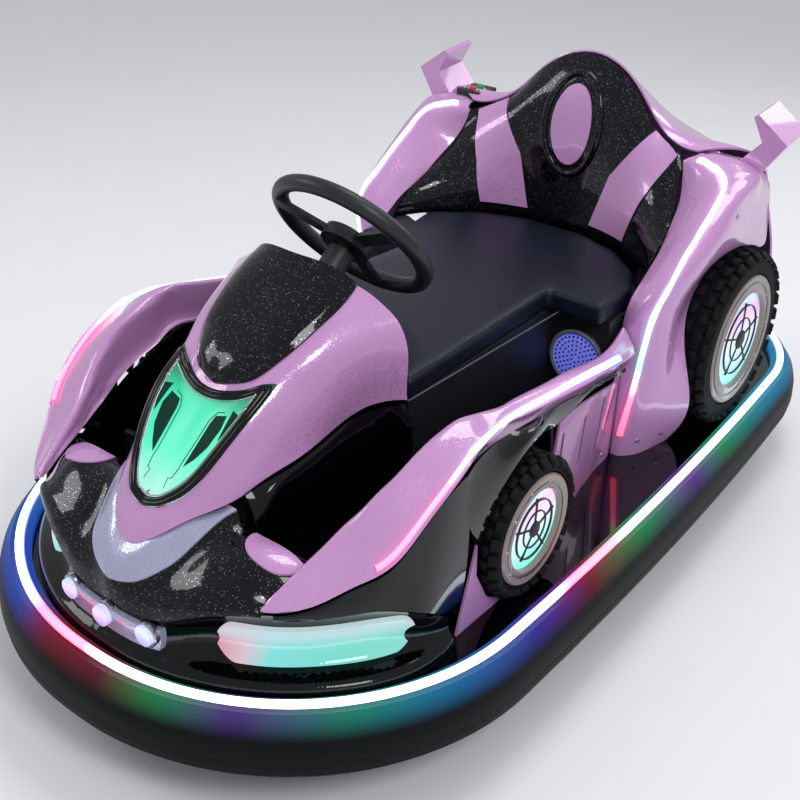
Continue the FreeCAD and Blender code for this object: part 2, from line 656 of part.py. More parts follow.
inner_wall = moulding([cowl_foot, cowl_step, dropped(cowl_step, 3, at(0, 0, 330).z),
                       dropped(cowl_step, 5, deck_top)], panel, steps=21)
door_line = [p - Z_AXIS * 9 for p in [at(274, -744, 381)] + inner_low[2:]]
outer_wall = moulding([dropped(door_line, 0, deck_top), dropped(door_line, 0, at(0, 0, 300).z), door_line],
                      panel, steps=25)
front_wall = box(at(142, 0, 0).x, at(262, 0, 0).x, at(0, -749, 0).y, at(0, -749, 0).y + panel, deck_top,
                 at(0, 0, 380).z)
footwell = [inner_wall, outer_wall, clear_of(front_wall, nose, fender)]
shaped("footwell_walls", group(footwell + [mirrored(one) for one in footwell]))

# ---------------------------------------------------------------- tunnel, seat base, tail
base_y, back_y = long("seat_base_y"), long("seat_base_back_y")


def tunnel_block(inset):
    """Prism over the drive fork; its top follows the foot of the middle cowl."""
    half = tunnel_x - inset
    side = [at(0, -740 + inset, 0), at(0, -740 + inset, 374 - inset), at(0, -720, 414 - inset),
            at(0, -640, 446 - inset), at(0, -540, 470 - inset), at(0, -482, 478 - inset)]
    side = [Vector(-half, p.y, p.z) for p in side]
    side[0].z = deck + seam if not inset else 0
    rear = -long("plank_front_y") - 4 * seam + inset
    side += [Vector(-half, rear, side[-1].z), Vector(-half, rear, side[0].z)]
    return Part.Face(Part.makePolygon(side + side[:1])).extrude(Vector(2 * half, 0, 0))


tunnel = tunnel_block(0).cut(tunnel_block(panel))
shaped("floor_tunnel", tunnel)
bench_x = wide("bench_half_width")
bench_block = sheet_box("bench_block", "-bench_x", "base_y", "foot_level",
                        "2 * bench_x", "back_y - base_y", "seat_base_top - foot_level")
bench_hollow = sheet_box("bench_hollow", "panel - bench_x", "base_y + panel", 0,
                         "2 * bench_x - 2 * panel", "back_y - base_y - 2 * panel", "seat_base_top - panel")
keep("seat_base", cut_from("seat_base", bench_block, bench_hollow))
doc.recompute()
seat_base = parts[-1].Shape
pad_z = size("seat_base_top") + 2 * seam
pad_front = base_y - size("bench_overhang")


def plank_outline(inset, height):
    """Plan of the bench's stretch along the tunnel, which narrows to the rear."""
    front, rear = wide("plank_half_width") - inset, wide("plank_half_width") - 22 * stretch_x - inset
    ahead = -long("plank_front_y") + inset
    return Part.makePolygon([Vector(-front, ahead, height), Vector(front, ahead, height),
                             Vector(rear, base_y - seam, height), Vector(-rear, base_y - seam, height),
                             Vector(-front, ahead, height)])


plank_half, plank_rear = wide("plank_half_width"), wide("plank_half_width") - 22 * stretch_x
cushion_side = [Vector(plank_half, -long("plank_front_y"), pad_z), Vector(plank_rear, pad_front, pad_z),
                Vector(bench_x, pad_front, pad_z)]
for x, y in ((289, 150), (247, 231), (170, 301), (70, 339)):
    cushion_side.append(Vector(x * stretch_x, y * stretch_y, pad_z))
cushion_ring = cushion_side + [Vector(-p.x, p.y, p.z) for p in reversed(cushion_side)]
cushion = plate(Part.makePolygon(cushion_ring + cushion_ring[:1]), size("cushion_thickness"))
pad_top = pad_z + size("cushion_thickness")
rim_edges = [e for e in cushion.Edges if all(abs(v.Z - pad_top) < 0.01 for v in e.Vertexes)]
cushion = cushion.makeFillet(size("cushion_edge"), rim_edges)
plank_base = plate(plank_outline(3, deck_top), size("seat_base_top") - deck_top)
plank_base = plank_base.cut(plate(plank_outline(3 + panel, 0), size("seat_base_top") - panel))
shaped("plank_base", plank_base)

seat_rows = [
    [at(0, 352, 496.6), at(72, 344, 496.6), at(172, 306, 496.6), at(250, 236, 496.6), at(294, 150, 496.6)],
    [at(0, 352, 556), at(76, 344, 556), at(176, 306, 556), at(252, 240, 556), at(294, 172, 556)],
    [at(0, 356, 640), at(90, 348, 640), at(190, 316, 636), at(250, 292, 634), at(280, 286, 628)],
    [at(0, 362, 780), at(80, 362, 770), at(150, 358, 745), at(210, 356, 722), at(258, 350, 700)],
    [at(0, 414, 892), at(62, 410, 878), at(108, 406, 846), at(142, 400, 806), at(176, 392, 770),
     at(222, 380, 748), at(256, 364, 736)],
]
seat_back = moulding([across(row) for row in seat_rows], panel + 2, steps=21)
shaped("seat_shell", clear_of(seat_back, seat_base, quarter, mirrored(quarter)))
shaped("seat_cushion", cushion)
tail = moulding([
    across([at(0, 884, foot), at(150, 864, foot), at(250, 790, foot), at(330, 700, foot), at(352, 628, foot)]),
    across([at(0, 880, 330), at(150, 860, 330), at(250, 786, 330), at(336, 696, 330), at(360, 640, 330)]),
    across([at(0, 840, 470), at(140, 826, 470), at(240, 766, 460), at(330, 690, 450), at(368, 642, 440)]),
    across([at(0, 740, 620), at(130, 726, 612), at(240, 684, 600), at(330, 632, 580), at(372, 596, 545)]),
    across([at(0, 620, 740), at(110, 606, 732), at(220, 580, 716), at(310, 552, 690), at(378, 510, 664)]),
    across([at(0, 520, 828), at(60, 518, 816), at(110, 516, 792), at(142, 514, 772), at(222, 508, 742),
            at(310, 500, 728), at(377, 484, 712)]),
    across([at(0, 424, 894), at(62, 420, 880), at(108, 416, 848), at(144, 412, 808), at(180, 404, 774),
            at(224, 394, 752), at(270, 394, 746)]),
], panel, steps=31)
tail = clear_of(tail, quarter, mirrored(quarter), seat_back)
shaped("tail_cowl", tail)
winglet = clear_of(winglet, quarter, tail)
shaped("winglets", group([winglet, mirrored(winglet)]))

# ---------------------------------------------------------------- steering
tilt = size("column_tilt")
steer_centre = Vector(0, -long("steer_wheel_y"), size("steer_wheel_height"))
turn = Rotation(X_AXIS, -tilt)
steer_place = Placement(steer_centre, turn)
rim = Part.makeTorus(size("steer_wheel_radius"), size("steer_grip_radius"))
hub = Part.makeCylinder(46, 22, Vector(0, 0, -26))
spokes = []
for angle in (90, 210, 330):
    spoke = box(30, size("steer_wheel_radius"), -14, 14, -16, -8)
    spoke.rotate(ORIGIN, Z_AXIS, angle)
    spokes.append(spoke)
shaft = Part.makeCylinder(size("shaft_radius"), 60, Vector(0, 0, -80))
wheel = rim.multiFuse([hub, shaft] + spokes)
shaped("steering_wheel", wheel, steer_place)
column_length = (long("fork_y") - long("steer_wheel_y")) / sin(radians(tilt)) - 34
jacket = Part.makeCylinder(size("column_radius"), column_length - 34, Vector(0, 0, -column_length))
jacket = jacket.cut(Part.makeCylinder(size("shaft_radius") + size("axle_clearance"), 60, Vector(0, 0, -90)))
jacket_bore = Part.makeCylinder(size("column_radius") + 3, column_length, Vector(0, 0, -column_length))
column = jacket.copy()
column.Placement = steer_place
steering_box = box(-38, 38, fork_y - 40, fork_y + 60, at(0, 0, 452).z, at(0, 0, 520).z)
steering_box = clear_of(steering_box, tunnel, column, spine)
column_gap = jacket_bore.copy()
column_gap.Placement = steer_place
shaped("steering_column", column)
shaped("dash_back", clear_of(dash, column_gap))
shaped("steering_box", steering_box)

# ---------------------------------------------------------------- drive fork and wheel
crown = sheet_box("fork_crown", "-fork_half - fork_blade", "fork_place - 30", "crown_level",
                  "2 * fork_half + 2 * fork_blade", 60, 12)
blades = [sheet_box("fork_blade_" + side, start, "fork_place - 26", "drive_wheel_radius - 26",
                    "fork_blade", 52, "crown_level + 38 - drive_wheel_radius")
          for side, start in (("left", "fork_half"), ("right", "-fork_half - fork_blade"))]
steerer = sheet_rod("fork_steerer", 0, "fork_place", "crown_level + 6", 20, 90)
fork_axle = sheet_rod("fork_axle", "-fork_half - fork_blade", "fork_place", "drive_wheel_radius",
                      "axle_radius", "2 * fork_half + 2 * fork_blade", X_AXIS)
keep("drive_fork", joined("drive_fork", crown, *blades, steerer, fork_axle))
hub_tread = sheet_rod("drive_tread", "-drive_wheel_width / 2", "fork_place", "drive_wheel_radius",
                      "drive_wheel_radius", "drive_wheel_width", X_AXIS)
hub_bore = sheet_rod("drive_bore", "-drive_wheel_width / 2", "fork_place", "drive_wheel_radius",
                     "bore_radius", "drive_wheel_width", X_AXIS)
keep("drive_wheel", cut_from("drive_wheel", rounded("drive_shoulders", hub_tread, 12), hub_bore))
housing = sheet_rod("bearing_housing", 0, "fork_place", "crown_level + 40", 34, 50)
cross_plate = sheet_box("bearing_plate", "panel + seam - tunnel_half", "fork_place - 40", "crown_level + 90",
                        "2 * tunnel_half - 2 * panel - 2 * seam", 80, 12)
steerer_bore = sheet_rod("steerer_bore", 0, "fork_place", "crown_level + 38", 20.3, 70)
keep("fork_bearing", cut_from("fork_bearing", joined("bearing_body", housing, cross_plate), steerer_bore))

# ---------------------------------------------------------------- rear axle and wheels
rod = sheet_rod("axle_rod", "-axle_end", "axle_place", "road_wheel_radius", "axle_radius", "2 * axle_end", X_AXIS)
hangers = [sheet_box("axle_hanger_" + side, start, "axle_place - 30", "road_wheel_radius - 18", 40, 60,
                     "frame_low - seam - road_wheel_radius + 18")
           for side, start in (("left", "rail_x - 20"), ("right", "-rail_x - 20"))]
keep("rear_axle", joined("rear_axle", rod, *hangers))
for side, middle in (("left", "wheel_place"), ("right", "-wheel_place")):
    label = "rear_road_wheel_" + side
    road_tread = sheet_rod(f"road_tread_{side}", f"{middle} - road_wheel_width / 2", "axle_place",
                           "road_wheel_radius", "road_wheel_radius", "road_wheel_width", X_AXIS)
    road_bore = sheet_rod(f"road_bore_{side}", f"{middle} - road_wheel_width / 2", "axle_place",
                          "road_wheel_radius", "bore_radius", "road_wheel_width", X_AXIS)
    keep(label, cut_from(label, rounded(f"road_shoulders_{side}", road_tread, 8), road_bore))

# ---------------------------------------------------------------- chassis and battery
rails = [sheet_box("rail_" + side, start, "frame_front", "frame_low", "frame_tube",
                   "frame_rear - frame_front", "frame_tube")
         for side, start in (("left", "rail_x - frame_tube / 2"), ("right", "-rail_x - frame_tube / 2"))]
CROSS_TUBES = ["frame_front", "70 - plank_front_y * stretch_y", "base_y", "back_y + 20", "frame_rear - frame_tube"]
cross = [sheet_box(f"cross_tube_{k}", "frame_tube / 2 - rail_x", y, "frame_low",
                   "2 * rail_x - frame_tube", "frame_tube", "frame_tube")
         for k, y in enumerate(CROSS_TUBES, start=1)]
keep("chassis_frame", joined("chassis_frame", *rails, *cross))
pads = [sheet_box("pad_" + side, f"{middle} - frame_tube / 2 + 2", -130, "frame_low - seam - 5",
                  "frame_tube - 4", 60, 5) for side, middle in (("left", "rail_x"), ("right", "-rail_x"))]
keep("jack_pads", set_of("jack_pads", *pads))
keep("battery_block", sheet_box("battery_block", "-battery_length / 2", "base_y + 40", "foot_level",
                                "battery_length", "battery_width", "battery_height"))

# ---------------------------------------------------------------- small fittings
speaker = sheet_rod("speaker_left", "bench_x - speaker_radius", "base_y - 8 - seam", "seat_base_top - 91",
                    "speaker_radius", 8, Y_AXIS)
keep("speakers", set_of("speakers", speaker, mirror_of("speaker_right", speaker)))
keep("throttle_pedal", sheet_box("throttle_pedal", "-276 * stretch_x", "-640 * stretch_y", "foot_level",
                                 "pedal_width", 12, "pedal_length - seam"))


flank_front = moulding([
    [at(268, -834, 331), at(308, -800, 333), at(348, -750, 334), at(382, -694, 326), at(396, -664, 312),
     at(403, -618, 286), at(402, -560, 250)],
    [at(271, -836, 337), at(312, -798, 344), at(352, -746, 347), at(374, -712, 349), at(391, -676, 358),
     at(402, -618, 388), at(402, -548, 402)],
    [at(270, -836, 342), at(310, -797, 352), at(348, -747, 378), at(374, -716, 397), at(391, -662, 443),
     at(397, -602, 483), at(396, -556, 495)],
], panel, steps=25)
fin_outline = [at(390, -508, 346), at(390, -548, foot), at(390, -420, foot), at(390, -467, 224),
               at(390, -503, 286)]
fin = Part.Face(Part.makePolygon(fin_outline + fin_outline[:1])).extrude(Vector(panel, 0, 0))
flank = moulding([
    [at(402, -514, 362), at(403, -480, 420), at(402, -430, 456), at(398, -373, 473), at(377, -272, 449),
     at(363, -158, 446), at(348, 36, 418)],
    [at(402, -547, 402), at(402, -496, 440), at(400, -436, 472), at(396, -373, 487), at(376, -275, 460),
     at(363, -160, 454), at(348, 36, 423)],
    [at(396, -555, 494), at(391, -520, 505), at(386, -474, 508), at(377, -400, 498), at(371, -315, 485),
     at(361, -165, 461), at(347, 36, 429)],
], panel, steps=25)
shaped("flank_left", group([flank_front, flank]))
shaped("flank_right", group([mirrored(flank_front), mirrored(flank)]))
shaped("corner_fins", group([clear_of(fin, flank_front, flank), mirrored(clear_of(fin, flank_front, flank))]))
sill_line = [at(303, 106, foot), at(308, 78, foot), at(311, 41, foot), at(318, 0, foot), at(325, -42, foot),
             at(331, -68, foot), at(344, -130, foot), at(353, -236, foot)]
vent_top = [at(304, 106, 388), at(312, 78, 390), at(326, 48, 398), at(341, 12, 406), at(347, -42, 414),
            at(352, -88, 422), at(359, -150, 432), at(369, -236, 438)]
vent = moulding([vent_top, sill_line], panel, steps=21)
for low_end, high_end in ((at(361, -207, 340), at(366, -212, 408)), (at(347, -107, 284), at(358, -115, 397)),
                          (at(328, -14, 251), at(346, -30, 400))):
    run = high_end - low_end
    side_way = X_AXIS.cross(run).normalize()
    vent = vent.cut(slot_prism((low_end + high_end) / 2 - X_AXIS * 40, run, side_way, 10, 80))
vent = clear_of(vent, flank, quarter)
shaped("side_vents", group([vent, mirrored(vent)]))
moon_arc = [at(160, -753, 386), at(162, -776, 386), at(180, -796, 386), at(208, -803, 386),
            at(236, -796, 380), at(254, -778, 376), at(261, -753, 374)]
moon = skin_on_nose.common(through([moon_arc, [moon_arc[-1], moon_arc[0]]], Vector(0, 0, 1), 60))
moon = clear_of(moon, fender)
shaped("vent_inserts", group([moon, mirrored(moon)]))


FINE = 400


def band_along(rails, rail, shift, ends, extra, steps=31):
    """Light strip that lies on a panel, beside one of the panel's rails."""
    lines = [along(one, steps) for one in rails]
    patch = surface(rail_grid(rails, steps, extra))
    half = size("light_width") / 2
    outer, inner = [], []
    for i in range(*ends):
        station = [line[i] for line in lines]
        fine = along(station, FINE + 1)
        pitch = (fine[1] - fine[0]).Length
        middle = min(range(FINE + 1), key=lambda k: (fine[k] - station[rail]).Length) + shift / pitch
        row = []
        for share in (-1, -0.5, 0, 0.5, 1):
            u, v = patch.parameter(fine[round(middle + share * half / pitch)])
            row.append((patch.value(u, v), patch.normal(u, v)))
        outer.append([p + n * size("light_thickness") for p, n in row])
        inner.append([p + n * 3 * seam for p, n in row])
    return sheet_solid(outer, inner)


side_glow = band_along(fender_rails, 0, 11, (5, 29), 3)
shaped("fender_lights", group([side_glow, mirrored(side_glow)]))
pillar_glow = band_along(quarter_rails, 5, 0, (2, 30), 2)
shaped("pillar_lights", group([pillar_glow, mirrored(pillar_glow)]))
skin_on_seat = overlay([across(row) for row in seat_rows], 3, 21)


def facing(outline, back, front):
    """Prism that looks along Y over an outline of (x, z)."""
    wire = Part.makePolygon([at(x, back, z) for x, z in outline + outline[:1]])
    return Part.Face(wire).extrude(Vector(0, front - back, 0))


strap = skin_on_seat.common(facing([(76, 556), (174, 556), (196, 640), (238, 738), (176, 772),
                                    (108, 670)], 400, 200))
strap = clear_of(strap)
shaped("seat_straps", group([strap, mirrored(strap)]))
oval_edge = Part.Ellipse(Vector(0, 0, 0), 84, 46).toShape()
oval_pad = Part.Face(Part.Wire(oval_edge)).extrude(Vector(0, 0, 120))
oval_pad.Placement = Placement(at(0, 420, 753), Rotation(Z_AXIS, X_AXIS, -Y_AXIS, "ZXY"))
shaped("headrest_oval", clear_of(skin_on_seat.common(oval_pad)))
shaped("control_panel", clear_of(box(-324, -264, 404, 474, 700, 762), mirrored(quarter), tail))

# ---------------------------------------------------------------- check and write
doc.recompute()
os.makedirs("parts", exist_ok=True)
for obj in doc.Objects:
    if "Invalid" in obj.State or "Error" in obj.State:
        raise SystemExit(f"{obj.Name} failed: {obj.State}")
for obj in parts:
    if obj.Shape.isNull() or not obj.Shape.isValid():
        raise SystemExit(f"{obj.Label} has no sound shape")
for obj in parts:
    obj.Shape.exportStep(f"parts/{obj.Label}.step")
    print(f"{obj.Label:24s} {obj.Shape.Volume / 1e6:9.3f} l  solids {len(obj.Shape.Solids)}"
          f" valid {obj.Shape.isValid()} {obj.Shape.ShapeType}")
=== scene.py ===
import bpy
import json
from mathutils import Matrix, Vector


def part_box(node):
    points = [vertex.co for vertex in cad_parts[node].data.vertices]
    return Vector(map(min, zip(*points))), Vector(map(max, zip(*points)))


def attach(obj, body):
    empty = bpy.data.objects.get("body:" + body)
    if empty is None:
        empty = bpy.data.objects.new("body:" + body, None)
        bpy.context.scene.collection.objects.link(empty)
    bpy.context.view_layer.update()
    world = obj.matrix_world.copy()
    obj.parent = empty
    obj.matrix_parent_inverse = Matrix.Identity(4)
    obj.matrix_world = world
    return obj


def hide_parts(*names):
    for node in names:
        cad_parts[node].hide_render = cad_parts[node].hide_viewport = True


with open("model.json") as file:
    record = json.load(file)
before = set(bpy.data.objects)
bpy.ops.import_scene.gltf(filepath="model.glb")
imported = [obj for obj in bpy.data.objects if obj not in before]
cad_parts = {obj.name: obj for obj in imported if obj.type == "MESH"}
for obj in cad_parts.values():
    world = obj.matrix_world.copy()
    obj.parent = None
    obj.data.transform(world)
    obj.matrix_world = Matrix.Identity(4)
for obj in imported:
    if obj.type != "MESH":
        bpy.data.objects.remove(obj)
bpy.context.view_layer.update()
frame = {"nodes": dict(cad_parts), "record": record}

# %% [markdown]
# ## Helpers
# Blender works in metres and linear colour, while a maker writes millimetres and hex colours. One
# function turns a colour, and one adds a node with its settings and links. The others are short
# names for what repeats.
# %% Names used all through
import json
import math
import bmesh
import bpy
from mathutils import Matrix, Vector
from mathutils.bvhtree import BVHTree

MM = 0.001
record = frame["record"]
nodes = frame["nodes"]


def linear(hex_colour):
    """An sRGB hex colour as the linear colour that the shaders use."""
    parts = [int(hex_colour[i:i + 2], 16) / 255 for i in (1, 3, 5)]
    return tuple(c / 12.92 if c <= 0.04045 else ((c + 0.055) / 1.055) ** 2.4 for c in parts) + (1.0,)


def add(tree, kind, settings=None, sockets=None):
    """A new node with its settings, and each socket set to a value or linked to another socket."""
    made = tree.nodes.new(kind)
    for name, value in (settings or {}).items():
        setattr(made, name, value)
    for key, value in (sockets or {}).items():
        if isinstance(value, bpy.types.NodeSocket):
            tree.links.new(value, made.inputs[key])
        else:
            made.inputs[key].default_value = value
    return made


def maths(tree, operation, *values):
    """The result of one sum. Each value is a number or the socket of another node."""
    return add(tree, "ShaderNodeMath", {"operation": operation}, dict(enumerate(values))).outputs[0]


def mixed(tree, share, first, second):
    """The first colour where share is 0, the second where it is 1, and a blend between."""
    return add(tree, "ShaderNodeMix", {"data_type": "RGBA"},
               {"Factor": share, 6: first, 7: second}).outputs[2]


def mesh_of(piece):
    """A new mesh of an object as its modifiers leave it."""
    drawn = piece.evaluated_get(bpy.context.evaluated_depsgraph_get())
    return bpy.data.meshes.new_from_object(drawn)


# %% [markdown]
# ## Finishes
# Each finish starts from what the real material is. A shader that has the same number all over
# keeps it on its own socket. Grain, flake and glow are patterns in object space, in millimetres.
# %% The start of a finish


def start_finish(name, sockets):
    """A material with one main shader, and the object coordinates for its patterns."""
    material = bpy.data.materials.new(name)
    material.use_nodes = True
    tree = material.node_tree
    tree.nodes.clear()
    shader = add(tree, "ShaderNodeBsdfPrincipled", None, sockets)
    add(tree, "ShaderNodeOutputMaterial", None, {"Surface": shader.outputs[0]})
    place = add(tree, "ShaderNodeTexCoord").outputs["Object"]
    return material, tree, shader, place


def moulded(name, colour, second, roughness, grain_mm, relief_mm, sockets=None):
    """A moulded plastic, rubber or metal: fine grain in its relief, slow change in its colour."""
    look = dict({"Roughness": roughness}, **(sockets or {}))
    material, tree, shader, place = start_finish(name, look)
    cloud = add(tree, "ShaderNodeTexNoise", None, {"Vector": place, "Scale": 9.0, "Detail": 4.0})
    blend = mixed(tree, cloud.outputs[0], linear(colour), linear(second))
    grain = add(tree, "ShaderNodeTexNoise", None,
                {"Vector": place, "Scale": 1 / (grain_mm * MM), "Detail": 3.0})
    relief = add(tree, "ShaderNodeBump", None,
                 {"Strength": 0.5, "Distance": relief_mm * MM, "Height": grain.outputs[0]})
    worn = add(tree, "ShaderNodeMapRange", None,
               {"Value": grain.outputs[0], 1: 0.3, 2: 0.7,
                3: roughness * 0.85, 4: min(1, roughness * 1.15)})
    tree.links.new(blend, shader.inputs["Base Color"])
    tree.links.new(worn.outputs[0], shader.inputs["Roughness"])
    tree.links.new(relief.outputs[0], shader.inputs["Normal"])
    return material


def lacquered(name, colour, flake, flake_mm, share, roughness, shine=0.25, coat_ior=1.5):
    """A sprayed panel under clear lacquer: flakes lie in the colour coat, each a small mirror."""
    material, tree, shader, place = start_finish(
        name, {"Roughness": roughness, "Specular IOR Level": shine,
               "Coat Weight": 1.0, "Coat Roughness": 0.03, "Coat IOR": coat_ior})
    cells = add(tree, "ShaderNodeTexVoronoi", None, {"Vector": place, "Scale": 1 / (flake_mm * MM)})
    lot = add(tree, "ShaderNodeSeparateColor", None, {0: cells.outputs["Color"]})
    is_flake = maths(tree, "LESS_THAN", lot.outputs[0], share)
    cloud = add(tree, "ShaderNodeTexNoise", None, {"Vector": place, "Scale": 4.0, "Detail": 3.0})
    deep = tuple(0.86 * c for c in linear(colour)[:3]) + (1.0,)
    body = mixed(tree, cloud.outputs[0], linear(colour), deep)
    blend = mixed(tree, is_flake, body, linear(flake))
    mirror = maths(tree, "MULTIPLY", is_flake, 0.8)
    tilt = add(tree, "ShaderNodeBump", None,
               {"Strength": 0.05, "Distance": 0.2 * MM, "Height": lot.outputs[1]})
    tree.links.new(blend, shader.inputs["Base Color"])
    tree.links.new(mirror, shader.inputs["Metallic"])
    tree.links.new(tilt.outputs[0], shader.inputs["Normal"])
    return material


print("finish makers ready")

# %% [markdown]
# The light strips are milky silicone with coloured diodes behind. Their colour changes along the
# strip, so each one takes its colour from where it is on the kart: the angle round the bumper, or
# the distance from the nose.
# %% Glow finishes


def angle_round(tree, axes):
    """The angle round the kart, with 0 at the nose and the left side positive."""
    return maths(tree, "ARCTAN2", axes.outputs["X"], maths(tree, "MULTIPLY", axes.outputs["Y"], -1.0))


def colour_along(tree, value, stops, low, high):
    """The colour of the stops at a value. Each stop is (value, colour), between low and high."""
    step = add(tree, "ShaderNodeMapRange", None, {"Value": value, 1: low, 2: high})
    ramp = add(tree, "ShaderNodeValToRGB", None, {0: step.outputs[0]})
    bar = ramp.color_ramp
    while len(bar.elements) < len(stops):
        bar.elements.new(0.5)
    for element, (spot, colour) in zip(bar.elements, stops):
        element.position = (spot - low) / (high - low)
        element.color = linear(colour)
    return ramp.outputs[0]


def lit(name, stops, strength, where, low, high, roughness=0.25, base="#B9B4C8"):
    """A lit lens. where is ANGLE round the kart, or X, Y or Z, mapped from low to high on stops."""
    material, tree, shader, place = start_finish(
        name, {"Roughness": roughness, "Base Color": linear(base), "Emission Strength": strength})
    axes = add(tree, "ShaderNodeSeparateXYZ", None, {0: place})
    value = angle_round(tree, axes) if where == "ANGLE" else axes.outputs[where]
    tree.links.new(colour_along(tree, value, stops, low, high), shader.inputs["Emission Color"])
    return material


def node_of(material, kind):
    """The one node of a kind in a finish."""
    return next(n for n in material.node_tree.nodes if n.bl_idname == kind)


def degrees_stops(pairs):
    return [(math.radians(angle), colour) for angle, colour in pairs]


BUMPER_STOPS = degrees_stops([
    (-180, "#CFE6FF"), (-150, "#9FD8FF"), (-112, "#F4F0FF"), (-76, "#F4F0FF"), (-70, "#FF5C7E"),
    (-57, "#FF5C7E"), (-50, "#F4F0FF"), (-25, "#EAF2FF"), (-10, "#F4F0FF"), (-8, "#FF4E72"),
    (0, "#FF5C7E"), (3, "#F7F2FF"), (30, "#F1FFF8"), (50, "#F4F0FF"), (54, "#FF4E72"),
    (69, "#FF6C8C"), (74, "#F7F2FF"), (112, "#F1ECFF"), (150, "#D7EEFF"), (180, "#CFE6FF")])
# Deeper colours: the inner lip lens glows in them, and the bumper rubber gets them as painted light from
# the strip.
GLOW_STOPS = degrees_stops([
    (-180, "#2C6BD8"), (-140, "#1FA7D8"), (-118, "#1FB06A"), (-100, "#7A3DB8"), (-82, "#1FB06A"),
    (-60, "#8E1F3E"), (-48, "#4A3BC8"), (-35, "#1F8FD0"), (-20, "#2C5BE0"), (-11, "#2C5BE0"),
    (-5, "#9A1F36"), (3, "#7A2238"), (9, "#1FA860"), (16, "#6A35A8"), (26, "#1FA88C"),
    (35, "#1F8FD0"), (47, "#4A3BC8"), (59, "#9A1F3E"), (78, "#1FB06A"), (104, "#7A3DB8"),
    (120, "#1FB06A"), (142, "#1FA7D8"), (180, "#2C6BD8")])
bumper_glow = lit("silicone_light_strip", BUMPER_STOPS, 2.6, "ANGLE", -math.pi, math.pi)
fender_glow = lit("silicone_fender_strip", [
    (-0.73, "#FF3E66"), (-0.60, "#FF5F86"), (-0.52, "#8CFFD8"), (-0.40, "#B4FFF0"),
    (-0.22, "#F79CFF"), (-0.08, "#B8B4FF"), (0.03, "#4FA8FF")], 2.8, "Y", -0.73, 0.03)
pillar_glow = lit("silicone_pillar_strip", [
    (0.24, "#FF2E54"), (0.33, "#FF5070"), (0.40, "#6CFFC8"), (0.55, "#C4FFEE"), (0.75, "#F4F6FF")],
    2.8, "Z", 0.24, 0.75)
# Blue at the foot of each round lamp and white just above its middle: painted shading and a painted
# highlight in the lamp's glow.
lamp_glow = lit("frosted_lamp", [
    (0.236, "#8FA0FF"), (0.252, "#E8E8FF"), (0.262, "#FFFFFF"), (0.274, "#D8F0FF")],
    0.55, "Z", 0.236, 0.274, 0.2, "#9494CC")
headlamp_glow = lit("headlamp_lens", [
    (-0.385, "#FF6C8C"), (-0.26, "#E8FFF8"), (-0.17, "#8FF0FF"), (0.17, "#FF5C80"), (0.215, "#FFC4D0"),
    (0.25, "#7FF0E8"), (0.33, "#6FE8C8"), (0.385, "#8FE8D0")], 0.6, "X", -0.385, 0.385, 0.06, "#5F8890")
# Painted highlight: the top half of each headlamp is painted whiter.
tree = headlamp_glow.node_tree
painted_highlight_share = add(tree, "ShaderNodeMapRange", {"interpolation_type": "SMOOTHSTEP"},
            {"Value": node_of(headlamp_glow, "ShaderNodeSeparateXYZ").outputs["Z"],
             1: 0.252, 2: 0.284, 3: 0.0, 4: 0.8})
painted_highlight_colour = mixed(tree, painted_highlight_share.outputs[0], node_of(headlamp_glow, "ShaderNodeValToRGB").outputs[0],
               linear("#F2F8FF"))
tree.links.new(painted_highlight_colour, node_of(headlamp_glow, "ShaderNodeBsdfPrincipled").inputs["Emission Color"])
print("lit finishes ready")

# %% [markdown]
# Rubber, vinyl, lacquer and steel. The bumper is matt moulded rubber. The light that the strip above
# it throws on the rubber is painted in: a faint glow in the strip's colours that fades downward.
# %% Body finishes
tyre_rubber = moulded("tyre_rubber", "#08090B", "#0E0F12", 0.7, 1.2, 0.25, {"Specular IOR Level": 0.18})
black_abs = moulded("grained_black_abs", "#15161A", "#1D1E24", 0.5, 1.0, 0.15)
powder_steel = moulded("powder_coated_steel", "#1B1C20", "#24262B", 0.45, 1.6, 0.2)
bright_steel = moulded("zinc_plated_steel", "#B9BCC2", "#9FA3AA", 0.28, 0.8, 0.05, {"Metallic": 1.0})
alloy_hub = moulded("cast_alloy", "#8E9298", "#7C8088", 0.35, 1.4, 0.12, {"Metallic": 1.0})
battery_abs = moulded("battery_case_abs", "#2A2C33", "#33363E", 0.55, 1.2, 0.2)
beige_abs = moulded("satin_taupe_abs", "#8F857C", "#857B73", 0.34, 1.5, 0.06, {"Coat Weight": 0.4})
slate_vinyl = moulded("slate_vinyl", "#0C101E", "#12172A", 0.42, 2.2, 0.5, {"Specular IOR Level": 0.3})
grip_vinyl = moulded("grip_vinyl", "#131418", "#1B1C21", 0.42, 1.8, 0.4)
deck_lacquer = lacquered("black_piano_lacquer", "#030406", "#08090D", 1.5, 0.12, 0.1, 0.08, 1.33)
glitter_lacquer = lacquered("black_glitter_lacquer", "#030306", "#8A86A8", 1.3, 0.03, 0.16, 0.08, 1.33)
pink_lacquer = lacquered("lavender_pearl_lacquer", "#CB95CC", "#D6A9DA", 1.0, 0.10, 0.3)
silver_lacquer = lacquered("silver_lavender_lacquer", "#A7A6C6", "#C9C9E4", 1.1, 0.25, 0.28)
mint_panel = lacquered("mint_backlit_acrylic", "#3FBF9A", "#6FDDBB", 2.0, 0.1, 0.15)
GROOVE_PITCH = 0.011
